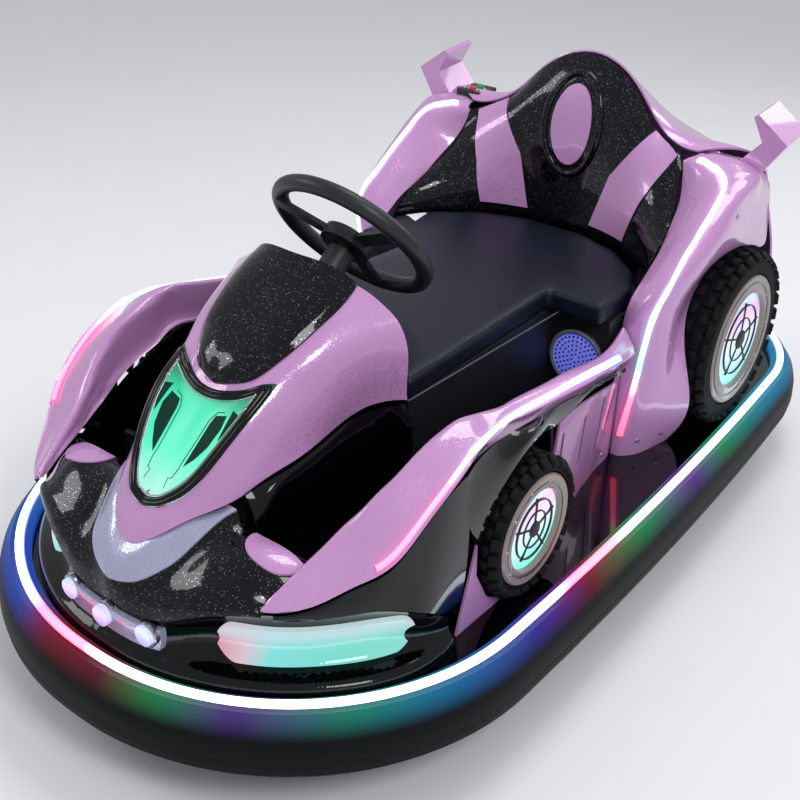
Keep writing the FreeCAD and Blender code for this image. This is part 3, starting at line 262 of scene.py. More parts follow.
# Heights where the painted glow of the strip's light on the rubber is gone (foot) and full (top).
PAINTED_LIGHT_FOOT, PAINTED_LIGHT_TOP = 0.172, 0.212
bumper_rubber, tree, shader, place = start_finish(
    "moulded_bumper_rubber", {"Roughness": 0.5, "Emission Strength": 0.5, "Specular IOR Level": 0.12})
cloud = add(tree, "ShaderNodeTexNoise", None, {"Vector": place, "Scale": 900.0, "Detail": 3.0})
dust = add(tree, "ShaderNodeTexNoise", None, {"Vector": place, "Scale": 6.0, "Detail": 4.0})
skin = mixed(tree, dust.outputs[0], linear("#050609"), linear("#0A0B10"))
axes = add(tree, "ShaderNodeSeparateXYZ", None, {0: place})
# Painted light: near its top the rubber emits the strip's colours, in place of the strip's light falling on
# it, fading out downward.
painted_strip_light = colour_along(tree, angle_round(tree, axes), GLOW_STOPS, -math.pi, math.pi)
painted_light_fade = add(tree, "ShaderNodeMapRange", {"interpolation_type": "SMOOTHSTEP"},
           {"Value": axes.outputs["Z"], 1: PAINTED_LIGHT_FOOT, 2: PAINTED_LIGHT_TOP})
glow = mixed(tree, painted_light_fade.outputs[0], (0, 0, 0, 1), painted_strip_light)
groove = maths(tree, "SINE", maths(tree, "MULTIPLY", axes.outputs["Z"], 2 * math.pi / GROOVE_PITCH))
height = maths(tree, "MULTIPLY_ADD", groove, 0.35, cloud.outputs[0])
relief = add(tree, "ShaderNodeBump", None, {"Strength": 0.4, "Distance": 0.5 * MM, "Height": height})
tree.links.new(skin, shader.inputs["Base Color"])
tree.links.new(glow, shader.inputs["Emission Color"])
tree.links.new(relief.outputs[0], shader.inputs["Normal"])
print("finishes:", len(bpy.data.materials))

# %% [markdown]
# ## Panels
# The big panels are already the right shape. A smooth copy takes the place of each: its corners
# are merged, and only edges sharper than 30 degrees stay sharp, so the lacquer shows long clean
# highlights. A few plain solids only get a finish.
# %% Smooth copies of the solids


def take_over(piece, body, slot, finish, *replaced):
    """The piece gets its finish, rides on its body, and stands for the solids named."""
    if finish:
        piece.data.materials.clear()
        piece.data.materials.append(finish)
    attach(piece, body)
    if replaced:
        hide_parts(*replaced)


def object_from(name, shape, smooth_angle=30):
    """A new object from a bmesh, with edges sharper than the angle kept sharp."""
    for face in shape.faces:
        face.smooth = True
    for edge in shape.edges:
        edge.smooth = len(edge.link_faces) == 2 and edge.calc_face_angle(0) < math.radians(smooth_angle)
    mesh = bpy.data.meshes.new(name)
    shape.to_mesh(mesh)
    shape.free()
    piece = bpy.data.objects.new(name, mesh)
    bpy.context.collection.objects.link(piece)
    return piece


def merged(node):
    """The mesh of a solid with its doubled corners joined, ready to edit."""
    shape = bmesh.new()
    shape.from_mesh(nodes[node].data)
    bmesh.ops.remove_doubles(shape, verts=shape.verts, dist=0.000002)
    return shape


body_of = {part: body for body, parts in record["behaviour"]["bodies"].items() for part in parts}
FINISH_OF = {
    "bumper_ring": ("bumper_rubber", bumper_rubber), "bumper_light": ("light_strip", bumper_glow),
    "deck_tray": ("deck_black", deck_lacquer), "nose_skirt": ("deck_black", deck_lacquer),
    "nose_cowl": ("glitter_black", glitter_lacquer), "canopy": ("glitter_black", glitter_lacquer),
    "seat_shell": ("glitter_black", glitter_lacquer), "chin_plate": ("silver_lavender", silver_lacquer),
    "lamp_panel": ("silver_lavender", silver_lacquer), "spine_cowl": ("lavender_pink", pink_lacquer),
    "fender_left": ("lavender_pink", pink_lacquer), "fender_right": ("lavender_pink", pink_lacquer),
    "quarter_left": ("lavender_pink", pink_lacquer), "quarter_right": ("lavender_pink", pink_lacquer),
    "winglets": ("lavender_pink", pink_lacquer), "tail_cowl": ("lavender_pink", pink_lacquer),
    "side_vents": ("lavender_pink", pink_lacquer), "seat_straps": ("lavender_pink", pink_lacquer),
    "headrest_oval": ("lavender_pink", pink_lacquer), "flank_left": ("deck_black", deck_lacquer),
    "flank_right": ("deck_black", deck_lacquer), "footwell_walls": ("deck_black", deck_lacquer),
    "dash_back": ("deck_black", deck_lacquer), "headlamps": ("lamp_lens", headlamp_glow),
    "lamp_bulbs": ("lamp_lens", lamp_glow), "fender_lights": ("light_strip", fender_glow),
    "pillar_lights": ("light_strip", pillar_glow), "steering_wheel": ("grip_black", grip_vinyl),
    "steering_column": ("steel_black", powder_steel), "drive_wheel": ("tyre_black", tyre_rubber),
    "rear_road_wheel_left": ("tyre_black", tyre_rubber),
    "rear_road_wheel_right": ("tyre_black", tyre_rubber), "rear_axle": ("steel_black", powder_steel),
    "drive_fork": ("steel_black", powder_steel), "fork_bearing": ("steel_black", powder_steel),
    "vent_inserts": ("lavender_pink", pink_lacquer), "light_plate": ("mint_panel", mint_panel)}
for node, (slot, finish) in FINISH_OF.items():
    take_over(object_from(node + "_panel", merged(node)), body_of[node], slot, finish, node)
PLAIN_FINISH = {
    "corner_fins": pink_lacquer, "floor_tunnel": black_abs, "seat_base": black_abs,
    "plank_base": black_abs, "chassis_frame": powder_steel, "jack_pads": tyre_rubber,
    "battery_block": battery_abs, "throttle_pedal": powder_steel, "steering_box": powder_steel,
    "control_panel": black_abs, "speakers": black_abs}
for node, finish in PLAIN_FINISH.items():
    nodes[node].data.materials.clear()
    nodes[node].data.materials.append(finish)
print("panels:", len(FINISH_OF), "plain solids:", len(PLAIN_FINISH))

# %% [markdown]
# ## Trim makers
# Three makers cover most small parts: a bead is a round strip along a line, a turned part is a
# profile spun round an axis, and a plaque is a thin plate laid on a panel. A part that lies on a
# panel gets its points from rays sent at that panel, so trim follows the surface that carries it.
# %% Bead, turned part and plaque
from mathutils.geometry import delaunay_2d_cdt


def skin_of(mesh):
    """The surface of a mesh, for dropping points onto it."""
    return BVHTree.FromPolygons([v.co for v in mesh.vertices], [p.vertices for p in mesh.polygons])


def drop(skin, point, direction, lift=0.0):
    """The place where a ray from point first meets the skin, lifted off it."""
    hit, normal, _, _ = skin.ray_cast(Vector(point), Vector(direction).normalized())
    return None if hit is None else hit + normal * lift


def bead(name, points, radius, closed, finish, sides=2):
    """A round strip through the points."""
    data = bpy.data.curves.new(name, "CURVE")
    data.dimensions = "3D"
    data.bevel_depth = radius
    data.bevel_resolution = sides
    data.use_fill_caps = True
    line = data.splines.new("POLY")
    line.points.add(len(points) - 1)
    for spot, point in zip(line.points, points):
        spot.co = (*point, 1.0)
    line.use_cyclic_u = closed
    drawn = bpy.data.objects.new(name + "_line", data)
    bpy.context.collection.objects.link(drawn)
    mesh = mesh_of(drawn)
    bpy.data.objects.remove(drawn)
    shape = bmesh.new()
    shape.from_mesh(mesh)
    bmesh.ops.remove_doubles(shape, verts=shape.verts, dist=0.00001)
    bmesh.ops.recalc_face_normals(shape, faces=shape.faces)
    piece = object_from(name, shape, 50)
    piece.data.materials.append(finish)
    return piece


def turned(shape, profile, centre, sign, steps, axis=(1, 0, 0)):
    """Adds a profile of (radius, offset) spun round an axis through centre to the shape."""
    way = Vector(axis).normalized() * sign
    side = way.orthogonal().normalized()
    other = way.cross(side)
    rings = []
    for radius, offset in profile:
        count = 1 if radius == 0 else steps
        rings.append([shape.verts.new(Vector(centre) + way * offset
                                      + side * radius * math.cos(2 * math.pi * k / steps)
                                      + other * radius * math.sin(2 * math.pi * k / steps))
                      for k in range(count)])
    pairs = list(zip(rings, rings[1:]))
    if profile[0][0] and profile[-1][0]:
        pairs.append((rings[-1], rings[0]))
    for near, far in pairs:
        for k in range(steps):
            corners = [near[k % len(near)], near[(k + 1) % len(near)],
                       far[(k + 1) % len(far)], far[k % len(far)]]
            shape.faces.new(list(dict.fromkeys(corners)))


def turned_piece(name, parts, finish, slot, *replaced, body="kart"):
    """One piece from several turned parts: (profile, centre, sign, steps, axis)."""
    shape = bmesh.new()
    for part in parts:
        turned(shape, *part)
    bmesh.ops.recalc_face_normals(shape, faces=shape.faces)
    take_over(object_from(name, shape, 35), body, slot, finish, *replaced)


def plaque(name, outline, skin, to_space, direction, lift, thickness, finish, step=0.004):
    """A thin plate inside a flat outline, laid on a skin. to_space turns a flat point into a place."""
    flat = [Vector(p) for p in outline]
    count = len(flat)
    low = [min(p[k] for p in flat) for k in (0, 1)]
    high = [max(p[k] for p in flat) for k in (0, 1)]
    spots = list(flat)
    for i in range(1, int((high[0] - low[0]) / step) + 1):
        for j in range(1, int((high[1] - low[1]) / step) + 1):
            spots.append(Vector((low[0] + i * step, low[1] + j * step)))
    edges = [(k, (k + 1) % count) for k in range(count)]
    spots, _, faces, _, _, _ = delaunay_2d_cdt(spots, edges, [list(range(count))], 1, 1e-6)
    shape = bmesh.new()
    made = {}
    for face in faces:
        corners = []
        for k in face:
            if k not in made:
                place = drop(skin, to_space(spots[k]), direction, lift)
                made[k] = shape.verts.new(place) if place else None
            corners.append(made[k])
        if None not in corners:
            shape.faces.new(corners)
    bmesh.ops.recalc_face_normals(shape, faces=shape.faces)
    if sum(f.normal.dot(Vector(direction)) for f in shape.faces) > 0:
        bmesh.ops.reverse_faces(shape, faces=shape.faces)
    piece = object_from(name, shape, 40)
    wall = piece.modifiers.new("thickness", "SOLIDIFY")
    wall.thickness = thickness
    wall.offset = 1.0
    piece.data.materials.append(finish)
    return piece


print("trim makers ready")

# %% [markdown]
# ## Wheels
# The four big wheels are moulded dummies, fixed to the body. Each tyre is a carcass with blocks
# standing on it, in rows that are out of step, and the outer row leans over the shoulder. The blocks
# repeat, so Geometry Nodes place them; the carcass is a turned profile.
# %% Block rows by Geometry Nodes


def block_ring(name, rows, finish):
    """A node tree with rows of blocks round the axle: (offset, lean, phase, block size, inset)."""
    tree = bpy.data.node_groups.new(name, "GeometryNodeTree")
    tree.interface.new_socket("Geometry", in_out="INPUT", socket_type="NodeSocketGeometry")
    tree.interface.new_socket("Blocks", in_out="INPUT", socket_type="NodeSocketInt")
    tree.interface.new_socket("Radius", in_out="INPUT", socket_type="NodeSocketFloat")
    tree.interface.new_socket("Geometry", in_out="OUTPUT", socket_type="NodeSocketGeometry")
    given = add(tree, "NodeGroupInput")
    index = add(tree, "GeometryNodeInputIndex")
    whole = add(tree, "GeometryNodeJoinGeometry")
    for offset, lean, phase, block, inset in rows:
        points = add(tree, "GeometryNodePoints", None, {"Count": given.outputs["Blocks"]})
        step = maths(tree, "ADD", index.outputs[0], phase)
        share = maths(tree, "DIVIDE", step, given.outputs["Blocks"])
        angle = maths(tree, "MULTIPLY", share, 2 * math.pi)
        reach = maths(tree, "SUBTRACT", given.outputs["Radius"], inset)
        along, up = (maths(tree, "MULTIPLY", maths(tree, kind, angle), reach)
                     for kind in ("COSINE", "SINE"))
        place = add(tree, "ShaderNodeCombineXYZ", None, {"X": offset, "Y": along, "Z": up})
        moved = add(tree, "GeometryNodeSetPosition", None,
                    {"Geometry": points.outputs[0], "Position": place.outputs[0]})
        cube = add(tree, "GeometryNodeMeshCube", None, {"Size": block})
        leaning = add(tree, "GeometryNodeTransform", None,
                      {"Geometry": cube.outputs[0], "Rotation": (0.0, math.radians(lean), 0.0)})
        roll = maths(tree, "SUBTRACT", angle, math.pi / 2)
        turn = add(tree, "ShaderNodeCombineXYZ", None, {"X": roll})
        facing = add(tree, "FunctionNodeEulerToRotation", None, {0: turn.outputs[0]})
        placed = add(tree, "GeometryNodeInstanceOnPoints", None,
                     {"Points": moved.outputs[0], "Instance": leaning.outputs[0],
                      "Rotation": facing.outputs[0]})
        tree.links.new(placed.outputs[0], whole.inputs[0])
    real = add(tree, "GeometryNodeRealizeInstances", None, {0: whole.outputs[0]})
    dressed = add(tree, "GeometryNodeSetMaterial", None,
                  {"Geometry": real.outputs[0], "Material": finish})
    add(tree, "NodeGroupOutput", None, {0: dressed.outputs[0]})
    return tree


def grown(name, tree, sizes, places, rounding):
    """A plain mesh grown by a node tree, copied to each place, with its edges rounded."""
    seed = bpy.data.objects.new(name + "_seed", bpy.data.meshes.new(name + "_seed"))
    bpy.context.collection.objects.link(seed)
    grower = seed.modifiers.new("grow", "NODES")
    grower.node_group = tree
    for item in tree.interface.items_tree:
        if item.in_out == "INPUT" and item.name in sizes:
            grower[item.identifier] = sizes[item.name]
    bpy.context.view_layer.update()
    one = mesh_of(seed)
    materials = list(one.materials)
    seed.modifiers.remove(grower)
    bpy.data.objects.remove(seed)
    shape = bmesh.new()
    for place in places:
        copy = one.copy()
        copy.transform(place)
        shape.from_mesh(copy)
    bmesh.ops.bevel(shape, geom=list(shape.edges), offset=rounding, segments=1, affect="EDGES")
    bmesh.ops.recalc_face_normals(shape, faces=shape.faces)
    piece = object_from(name, shape, 50)
    piece.data.materials.clear()
    for material in materials:
        piece.data.materials.append(material)
    return piece


def both_sides(x, y, z):
    """The place of a part on the left, and its mirror image on the right."""
    here = Matrix.Translation((x, y, z))
    return [here, Matrix.Diagonal((-1, 1, 1, 1)) @ here]


# %% Carcasses and blocks
# Each wheel: name, radius, width, axle Y and Z, cover radius, blocks round the tyre.
WHEELS = [("front", 0.124, 0.072, -0.373, 0.316, 0.099, 26),
          ("rear", 0.184, 0.094, 0.411, 0.376, 0.139, 30)]
FACE = 0.421  # the outer face of every wheel, from the middle of the kart
SIGNS = (1, -1)
TREAD_HEIGHT = 0.007
for name, radius, width, axle_y, axle_z, cover, count in WHEELS:
    inner = radius - TREAD_HEIGHT
    wall = FACE - width
    carcass = [(cover - 0.012, wall + 0.004), (inner - 0.016, wall + 0.001), (inner - 0.005, wall + 0.005),
               (inner, wall + 0.013), (inner, FACE - 0.016), (inner - 0.003, FACE - 0.009),
               (inner - 0.009, FACE - 0.004), (inner - 0.015, FACE - 0.003), (cover + 0.003, FACE - 0.002),
               (cover + 0.001, FACE - 0.006), (cover - 0.002, FACE - 0.016), (cover - 0.012, FACE - 0.02)]
    turned_piece(name + "_tyre_carcasses", [(carcass, (0, axle_y, axle_z), s, 96) for s in SIGNS],
                 tyre_rubber, "tyre_black", name + "_tyres")
    middle = FACE - width / 2
    pitch = 2 * math.pi * radius / count
    long_block = (width * 0.21, pitch * 0.62, 0.012)
    shoulder = (0.02, pitch * 0.66, 0.012)
    rows = [(width / 2 - 0.0085, 42, 0.0, shoulder, 0.0085), (width * 0.17, 0, 0.5, long_block, 0.006),
            (-width * 0.11, 0, 0.0, long_block, 0.006), (-width / 2 + 0.0095, -42, 0.5, shoulder, 0.0088)]
    blocks = grown(name + "_tread_blocks", block_ring(name + "_tread", rows, tyre_rubber),
                   {"Blocks": count, "Radius": radius}, both_sides(middle, axle_y, axle_z), 0.0015)
    take_over(blocks, "kart", "tyre_black", tyre_rubber)
    print(name, "tyre blocks:", count * len(rows) * 2)

# %% [markdown]
# A taupe ring closes each wheel. In it sits a milky disc, lit from behind, with an inner circle,
# five spoke lines and a dark boss with small screws round it.
# %% Wheel covers
wheel_lights = {
    "front": lit("front_wheel_disc", [
        (0.245, "#7FF0E0"), (0.28, "#A8FFF0"), (0.316, "#DFF6FF"), (0.36, "#F6C8F4"),
        (0.387, "#C4F4FF")], 1.0, "Z", 0.245, 0.387, 0.25, "#3A5A66"),
    "rear": lit("rear_wheel_disc", [
        (0.276, "#8CF0E0"), (0.33, "#BFE9FF"), (0.376, "#E6F4FF"), (0.43, "#E9B8EE"),
        (0.476, "#BDF0FF")], 0.95, "Z", 0.276, 0.476, 0.25, "#3A5A66")}
for name, _, _, axle_y, axle_z, cover, _ in WHEELS:
    disc = cover * 0.72
    centre = (0, axle_y, axle_z)
    ring = [(cover - 0.001, FACE - 0.012), (cover - 0.001, FACE - 0.003), (cover - 0.004, FACE),
            (cover - 0.010, FACE - 0.0015), (disc + 0.008, FACE - 0.0015), (disc + 0.004, FACE),
            (disc + 0.001, FACE - 0.002), (disc, FACE - 0.012)]
    lip = [(cover - 0.015, FACE - 0.003), (cover - 0.015, FACE - 0.0002), (cover - 0.017, FACE),
           (cover - 0.019, FACE - 0.0002), (cover - 0.019, FACE - 0.003)]
    glow_disc = [(0, FACE - 0.016), (disc + 0.001, FACE - 0.016), (disc + 0.001, FACE - 0.009),
                 (disc * 0.6, FACE - 0.006), (0, FACE - 0.006)]
    boss = [(0, FACE - 0.012), (disc * 0.2, FACE - 0.012), (disc * 0.2, FACE - 0.003),
            (disc * 0.13, FACE - 0.0005), (0, FACE - 0.0005)]
    circles = [[(r + 0.0012, FACE - 0.012), (r + 0.0012, FACE - 0.0035), (r - 0.0012, FACE - 0.0035),
                (r - 0.0012, FACE - 0.012)] for r in (disc * 0.46, disc * 0.74)]
    turned_piece(name + "_wheel_rings", [(ring, centre, s, 96) for s in SIGNS],
                 beige_abs, "wheel_cover", name + "_hubs")
    turned_piece(name + "_ring_lips", [(lip, centre, s, 96) for s in SIGNS], alloy_hub, "wheel_cover")
    turned_piece(name + "_wheel_discs", [(glow_disc, centre, s, 72) for s in SIGNS],
                 wheel_lights[name], "light_strip")
    dark = [(boss, centre, s, 48) for s in SIGNS] + [(c, centre, s, 72) for c in circles for s in SIGNS]
    turned_piece(name + "_wheel_bosses", dark, black_abs, "wheel_cover")
    spoke_rows = [(0.0, 0, 0.25, (0.006, 0.0035, disc * 0.62), 0.0)]
    spokes = grown(name + "_wheel_spokes", block_ring(name + "_spokes", spoke_rows, black_abs),
                   {"Blocks": 5, "Radius": disc * 0.5}, both_sides(FACE - 0.0065, axle_y, axle_z), 0.0006)
    take_over(spokes, "kart", "wheel_cover", black_abs)
    screw_rows = [(0.0, 0, 0.0, (0.004, 0.006, 0.006), 0.0)]
    screws = grown(name + "_wheel_screws", block_ring(name + "_screw_ring", screw_rows, bright_steel),
                   {"Blocks": 10, "Radius": cover * 0.86}, both_sides(FACE - 0.002, axle_y, axle_z), 0.0012)
    take_over(screws, "kart", "steel_black", bright_steel)
print("wheel covers done")

# %% [markdown]
# ## Light plate
# The plate on the nose is clear acrylic over a mint lamp. Printed dark panels leave a bright
# column in the middle. A black frame with a thin silver line goes round it, held by three screws.
# %% Plate frame, panels and lines
plate_skin = skin_of(nodes["light_plate"].data)
PLATE_ORIGIN = Vector((0, -0.74, 0.49))
PLATE_UP = Vector((0, 1, 1)).normalized()
PLATE_OUT = Vector((0, -1, 1)).normalized()
# The left half of the plate's edge in millimetres, up the side and then along the top.
PLATE_HALF = [
    (0, -833, 407), (18, -831, 411), (36, -825, 417), (58, -805, 434), (74, -782, 459), (84, -758, 483),
    (92, -732, 509), (98, -706, 533), (101, -677, 555), (101, -650, 575), (85, -656, 571),
    (68, -667, 563), (51, -677, 557), (34, -684, 553), (17, -688, 550), (0, -689, 549)]


def on_plate(flat):
    """A flat point of the plate, across and up, held in front of it."""
    return PLATE_ORIGIN + Vector((flat[0], 0, 0)) + PLATE_UP * flat[1] + PLATE_OUT * 0.1


def plate_flat(place):
    """The flat point of the plate, across and up, that a place lies over."""
    away = Vector(place) * MM - PLATE_ORIGIN
    return Vector((away.x, away.dot(PLATE_UP)))


half = [plate_flat(p) for p in PLATE_HALF]
rim = half + [Vector((-p.x, p.y)) for p in reversed(half[1:-1])]
for _ in range(2):  # cutting each corner twice rounds the loop
    rim = [a.lerp(b, t) for a, b in zip(rim, rim[1:] + rim[:1]) for t in (0.25, 0.75)]


def shrunk(loop, inset):
    """The loop moved inward by the inset."""
    moved = []
    for k, here in enumerate(loop):
        run = (loop[(k + 1) % len(loop)] - loop[k - 1]).normalized()
        moved.append(here + Vector((-run.y, run.x)) * inset)
    return moved


def plate_line(name, flat, radius, finish, slot, lift, closed=False):
    """A bead along a flat line of the plate."""
    fine = []
    for k in range(len(flat) - (0 if closed else 1)):
        a, b = Vector(flat[k]), Vector(flat[(k + 1) % len(flat)])
        fine += [a.lerp(b, t / 4) for t in range(4)]
    if not closed:
        fine.append(Vector(flat[-1]))
    places = [drop(plate_skin, on_plate(p), -PLATE_OUT, lift) for p in fine]
    take_over(bead(name, [p for p in places if p], radius, closed, finish), "kart", slot, None)


plate_glow = lit("backlit_mint_acrylic", [
    (0.405, "#C9FFEF"), (0.43, "#B4FFE8"), (0.47, "#58FFD0"), (0.53, "#34F0BC"), (0.552, "#1FA87C"),
    (0.575, "#06291E")], 0.85, "Z", 0.405, 0.575, 0.35, "#0A3A2C")
dark_green = moulded("printed_dark_green", "#04291E", "#063B2B", 0.6, 2.0, 0.003,
                     {"Specular IOR Level": 0.15})
bpy.data.objects["light_plate_panel"].data.materials[0] = plate_glow
for label, inset in (("outer", 0.0032), ("inner", 0.0098)):
    plate_line("plate_frame_" + label, shrunk(rim, inset), 0.0052, deck_lacquer, "deck_black",
               -0.002, True)
plate_line("plate_silver_line", shrunk(rim, 0.0162), 0.0011, bright_steel, "mint_panel", 0.0004, True)
SIDE_PANEL = [(0.034, -0.047), (0.046, -0.030), (0.058, -0.006), (0.064, 0.028), (0.060, 0.050),
              (0.040, 0.044), (0.037, 0.030)]
OUTER_PANEL = [(0.070, 0.010), (0.077, 0.030), (0.080, 0.058), (0.066, 0.062), (0.068, 0.040)]
TRACK = [(0.026, -0.070), (0.029, -0.052), (0.028, -0.044), (0.032, 0.034), (0.040, 0.050),
         (0.052, 0.054)]
HOOK = [(0.022, -0.088), (0.020, -0.072), (0.026, -0.070)]
for sign, side in ((1, "left"), (-1, "right")):
    for label, outline in (("inner", SIDE_PANEL), ("outer", OUTER_PANEL)):
        flat = [(sign * u, v) for u, v in (outline if sign > 0 else outline[::-1])]
        panel = plaque(f"plate_{label}_panel_{side}", flat, plate_skin, on_plate, -PLATE_OUT,
                       0.0001, 0.0007, dark_green)
        take_over(panel, "kart", "mint_panel", None)
    for label, flat, radius in (("track", TRACK, 0.0007), ("hook", HOOK, 0.0006)):
        plate_line(f"plate_{label}_{side}", [(sign * u, v) for u, v in flat], radius,
                   dark_green, "mint_panel", 0.0002)
PLATE_SCREW = [(0, -0.001), (0.0042, -0.001), (0.0042, 0.0008), (0.0028, 0.002), (0.0012, 0.0012),
               (0, 0.0012)]
seats = [drop(plate_skin, on_plate(flat), -PLATE_OUT)
         for flat in ((0, -0.104), (0.084, 0.070), (-0.084, 0.070))]
parts = [(PLATE_SCREW, seat, 1, 20, PLATE_OUT) for seat in seats if seat]
turned_piece("plate_screws", parts, bright_steel, "steel_black")
print("plate lines and panels laid, screws:", len(parts))

# %% [markdown]
# ## Lamps
# Three round lamps sit in the silver bar under the nose, each in a bright bezel.
# %% Lamp bezels
BEZEL = [(0.0215, -0.006), (0.0215, 0.004), (0.0195, 0.006), (0.0178, 0.004), (0.0178, -0.006)]
parts = []
for x, y, z in ((0, -0.915, 0.254), (0.085, -0.9105, 0.255), (-0.085, -0.9105, 0.255)):
    way = Vector((x * 0.9, -1, 0.0)).normalized()
    parts.append((BEZEL, Vector((x, y, z)) - way * 0.001, 1, 40, way))
turned_piece("lamp_bezels", parts, bright_steel, "steel_black")
print("bezels:", len(parts))

# %% [markdown]
# ## Head restraint
# The head restraint is a black bulge. A raised rounded rim runs round its oval dimple, and the
# pink oval sits in the middle.
# %% Rim of the dimple
seat_skin = skin_of(nodes["seat_shell"].data)
RIM_POINTS = 64
DIMPLE_Z, DIMPLE_ACROSS, DIMPLE_UP = 0.753, 0.064, 0.104
loop = []
for k in range(RIM_POINTS):
    turn = 2 * math.pi * k / RIM_POINTS
    spot = (DIMPLE_ACROSS * math.sin(turn), 0.0, DIMPLE_Z + DIMPLE_UP * math.cos(turn))
    loop.append(drop(seat_skin, spot, (0, 1, 0), -0.001))
loop = [p for p in loop if p]
take_over(bead("head_restraint_rim", loop, 0.0085, True, glitter_lacquer, 4),
          "kart", "glitter_black", None)
print("rim points:", len(loop))

# %% [markdown]
# ## Speakers
# Each speaker is a blue disc with rows of dots, in a grey ring.
# %% Speaker rings and dots
speaker_glow = lit("speaker_blue_film", [(-0.3, "#2B3FE0"), (0.0, "#3A58FF"), (0.3, "#2B3FE0")],
                   0.55, "X", -0.3, 0.3)
grey_abs = moulded("grey_abs", "#7C7F8C", "#6E717D", 0.4, 1.2, 0.1)
FORWARD = (0, -1, 0)
centres = [(s * 0.234, 0.052, 0.405) for s in SIGNS]
ring = [(0.058, -0.004), (0.058, 0.003), (0.054, 0.005), (0.050, 0.003), (0.050, -0.004)]
cone = [(0, -0.003), (0.0505, -0.003), (0.0505, 0.001), (0.03, 0.002), (0, 0.002)]
turned_piece("speaker_rings", [(ring, c, 1, 48, FORWARD) for c in centres], grey_abs, "speaker_blue")
turned_piece("speaker_films", [(cone, c, 1, 48, FORWARD) for c in centres], speaker_glow, "speaker_blue")
DOT = [(0, 0.001), (0.0022, 0.001), (0.0016, 0.0034), (0, 0.0034)]
DOT_PITCH = 0.0088
dots = []
for c in centres:
    for circle in range(1, 6):
        for k in range(circle * 6):
            turn = 2 * math.pi * k / (circle * 6)
            spot = Vector(c) + Vector((math.sin(turn), 0, math.cos(turn))) * circle * DOT_PITCH
            dots.append((DOT, spot, 1, 8, FORWARD))
turned_piece("speaker_dots", dots, black_abs, "speaker_blue")
print("speaker dots:", len(dots))

# %% [markdown]
# ## Controls
# A small black box behind the seat has the start and stop buttons. The steering wheel has a horn
# button, screws and a seam round its rim, and the pedal has ribs against slipping.
# %% Buttons, horn, pedal ribs
red_button = moulded("red_button_abs", "#C8202C", "#B81C27", 0.3, 1.0, 0.02, {"Coat Weight": 0.5})
green_button = moulded("green_button_abs", "#1FA84A", "#1B9842", 0.3, 1.0, 0.02, {"Coat Weight": 0.5})
button = [(0, -0.002), (0.0105, -0.002), (0.0105, 0.001), (0.0085, 0.001), (0.008, 0.005),
          (0.005, 0.0068), (0, 0.0072)]
small = [(0, -0.002), (0.0045, -0.002), (0.0045, 0.002), (0.003, 0.0035), (0, 0.0035)]
UP = (0, 0, 1)
PANEL_TOP = 0.762
for name, y, finish in (("stop_button", 0.424, red_button), ("start_button", 0.452, green_button)):
    turned_piece(name, [(button, (-0.294, y, PANEL_TOP), 1, 28, UP)], finish, "grip_black")
lamps = [(small, (x, y, PANEL_TOP), 1, 16, UP) for x in (-0.315, -0.273) for y in (0.42, 0.438)]
turned_piece("panel_lamps", lamps, bright_steel, "steel_black")
STEER_TILT = math.radians(50.6)
STEER_AXIS = Vector((0, math.sin(STEER_TILT), math.cos(STEER_TILT)))
STEER_CENTRE = Vector((0, -0.353, 0.707))
STEER_RADIUS, GRIP_RADIUS = 0.141, 0.0143
wheel_skin = skin_of(nodes["steering_wheel"].data)
boss_top = drop(wheel_skin, STEER_CENTRE + STEER_AXIS * 0.2, -STEER_AXIS)
cap = [(0, -0.004), (0.026, -0.004), (0.026, 0.002), (0.022, 0.005), (0.012, 0.0065), (0, 0.007)]
turned_piece("horn_cap", [(cap, boss_top, 1, 40, STEER_AXIS)], black_abs, "grip_black",
             body="steering_wheel")
across = STEER_AXIS.orthogonal().normalized()
WHEEL_SCREW = [(0, -0.001), (0.003, -0.001), (0.003, 0.001), (0.0018, 0.002), (0, 0.002)]
parts = []
for k in range(6):
    arm = Matrix.Rotation(math.radians(60 * k), 3, STEER_AXIS) @ across
    seat = drop(wheel_skin, boss_top + arm * 0.031 + STEER_AXIS * 0.05, -STEER_AXIS)
    if seat:
        parts.append((WHEEL_SCREW, seat, 1, 12, STEER_AXIS))
turned_piece("wheel_screws", parts, bright_steel, "steel_black", body="steering_wheel")
SEAM_POINTS = 120
seam = []
for k in range(SEAM_POINTS):
    arm = Matrix.Rotation(2 * math.pi * k / SEAM_POINTS, 3, STEER_AXIS) @ across
    seam.append(STEER_CENTRE + arm * (STEER_RADIUS - GRIP_RADIUS) + STEER_AXIS * 0.001)
take_over(bead("rim_seam", seam, 0.0009, True, powder_steel), "steering_wheel", "grip_black", None)
low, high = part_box("throttle_pedal")
for k in range(7):
    z = low.z + 0.02 + k * 0.019
    rib = [(low.x + 0.008, low.y - 0.0005, z), (high.x - 0.008, low.y - 0.0005, z)]
    take_over(bead(f"pedal_rib_{k}", rib, 0.0022, False, black_abs), "kart", "grip_black", None)
print("controls done, wheel screws:", len(parts))

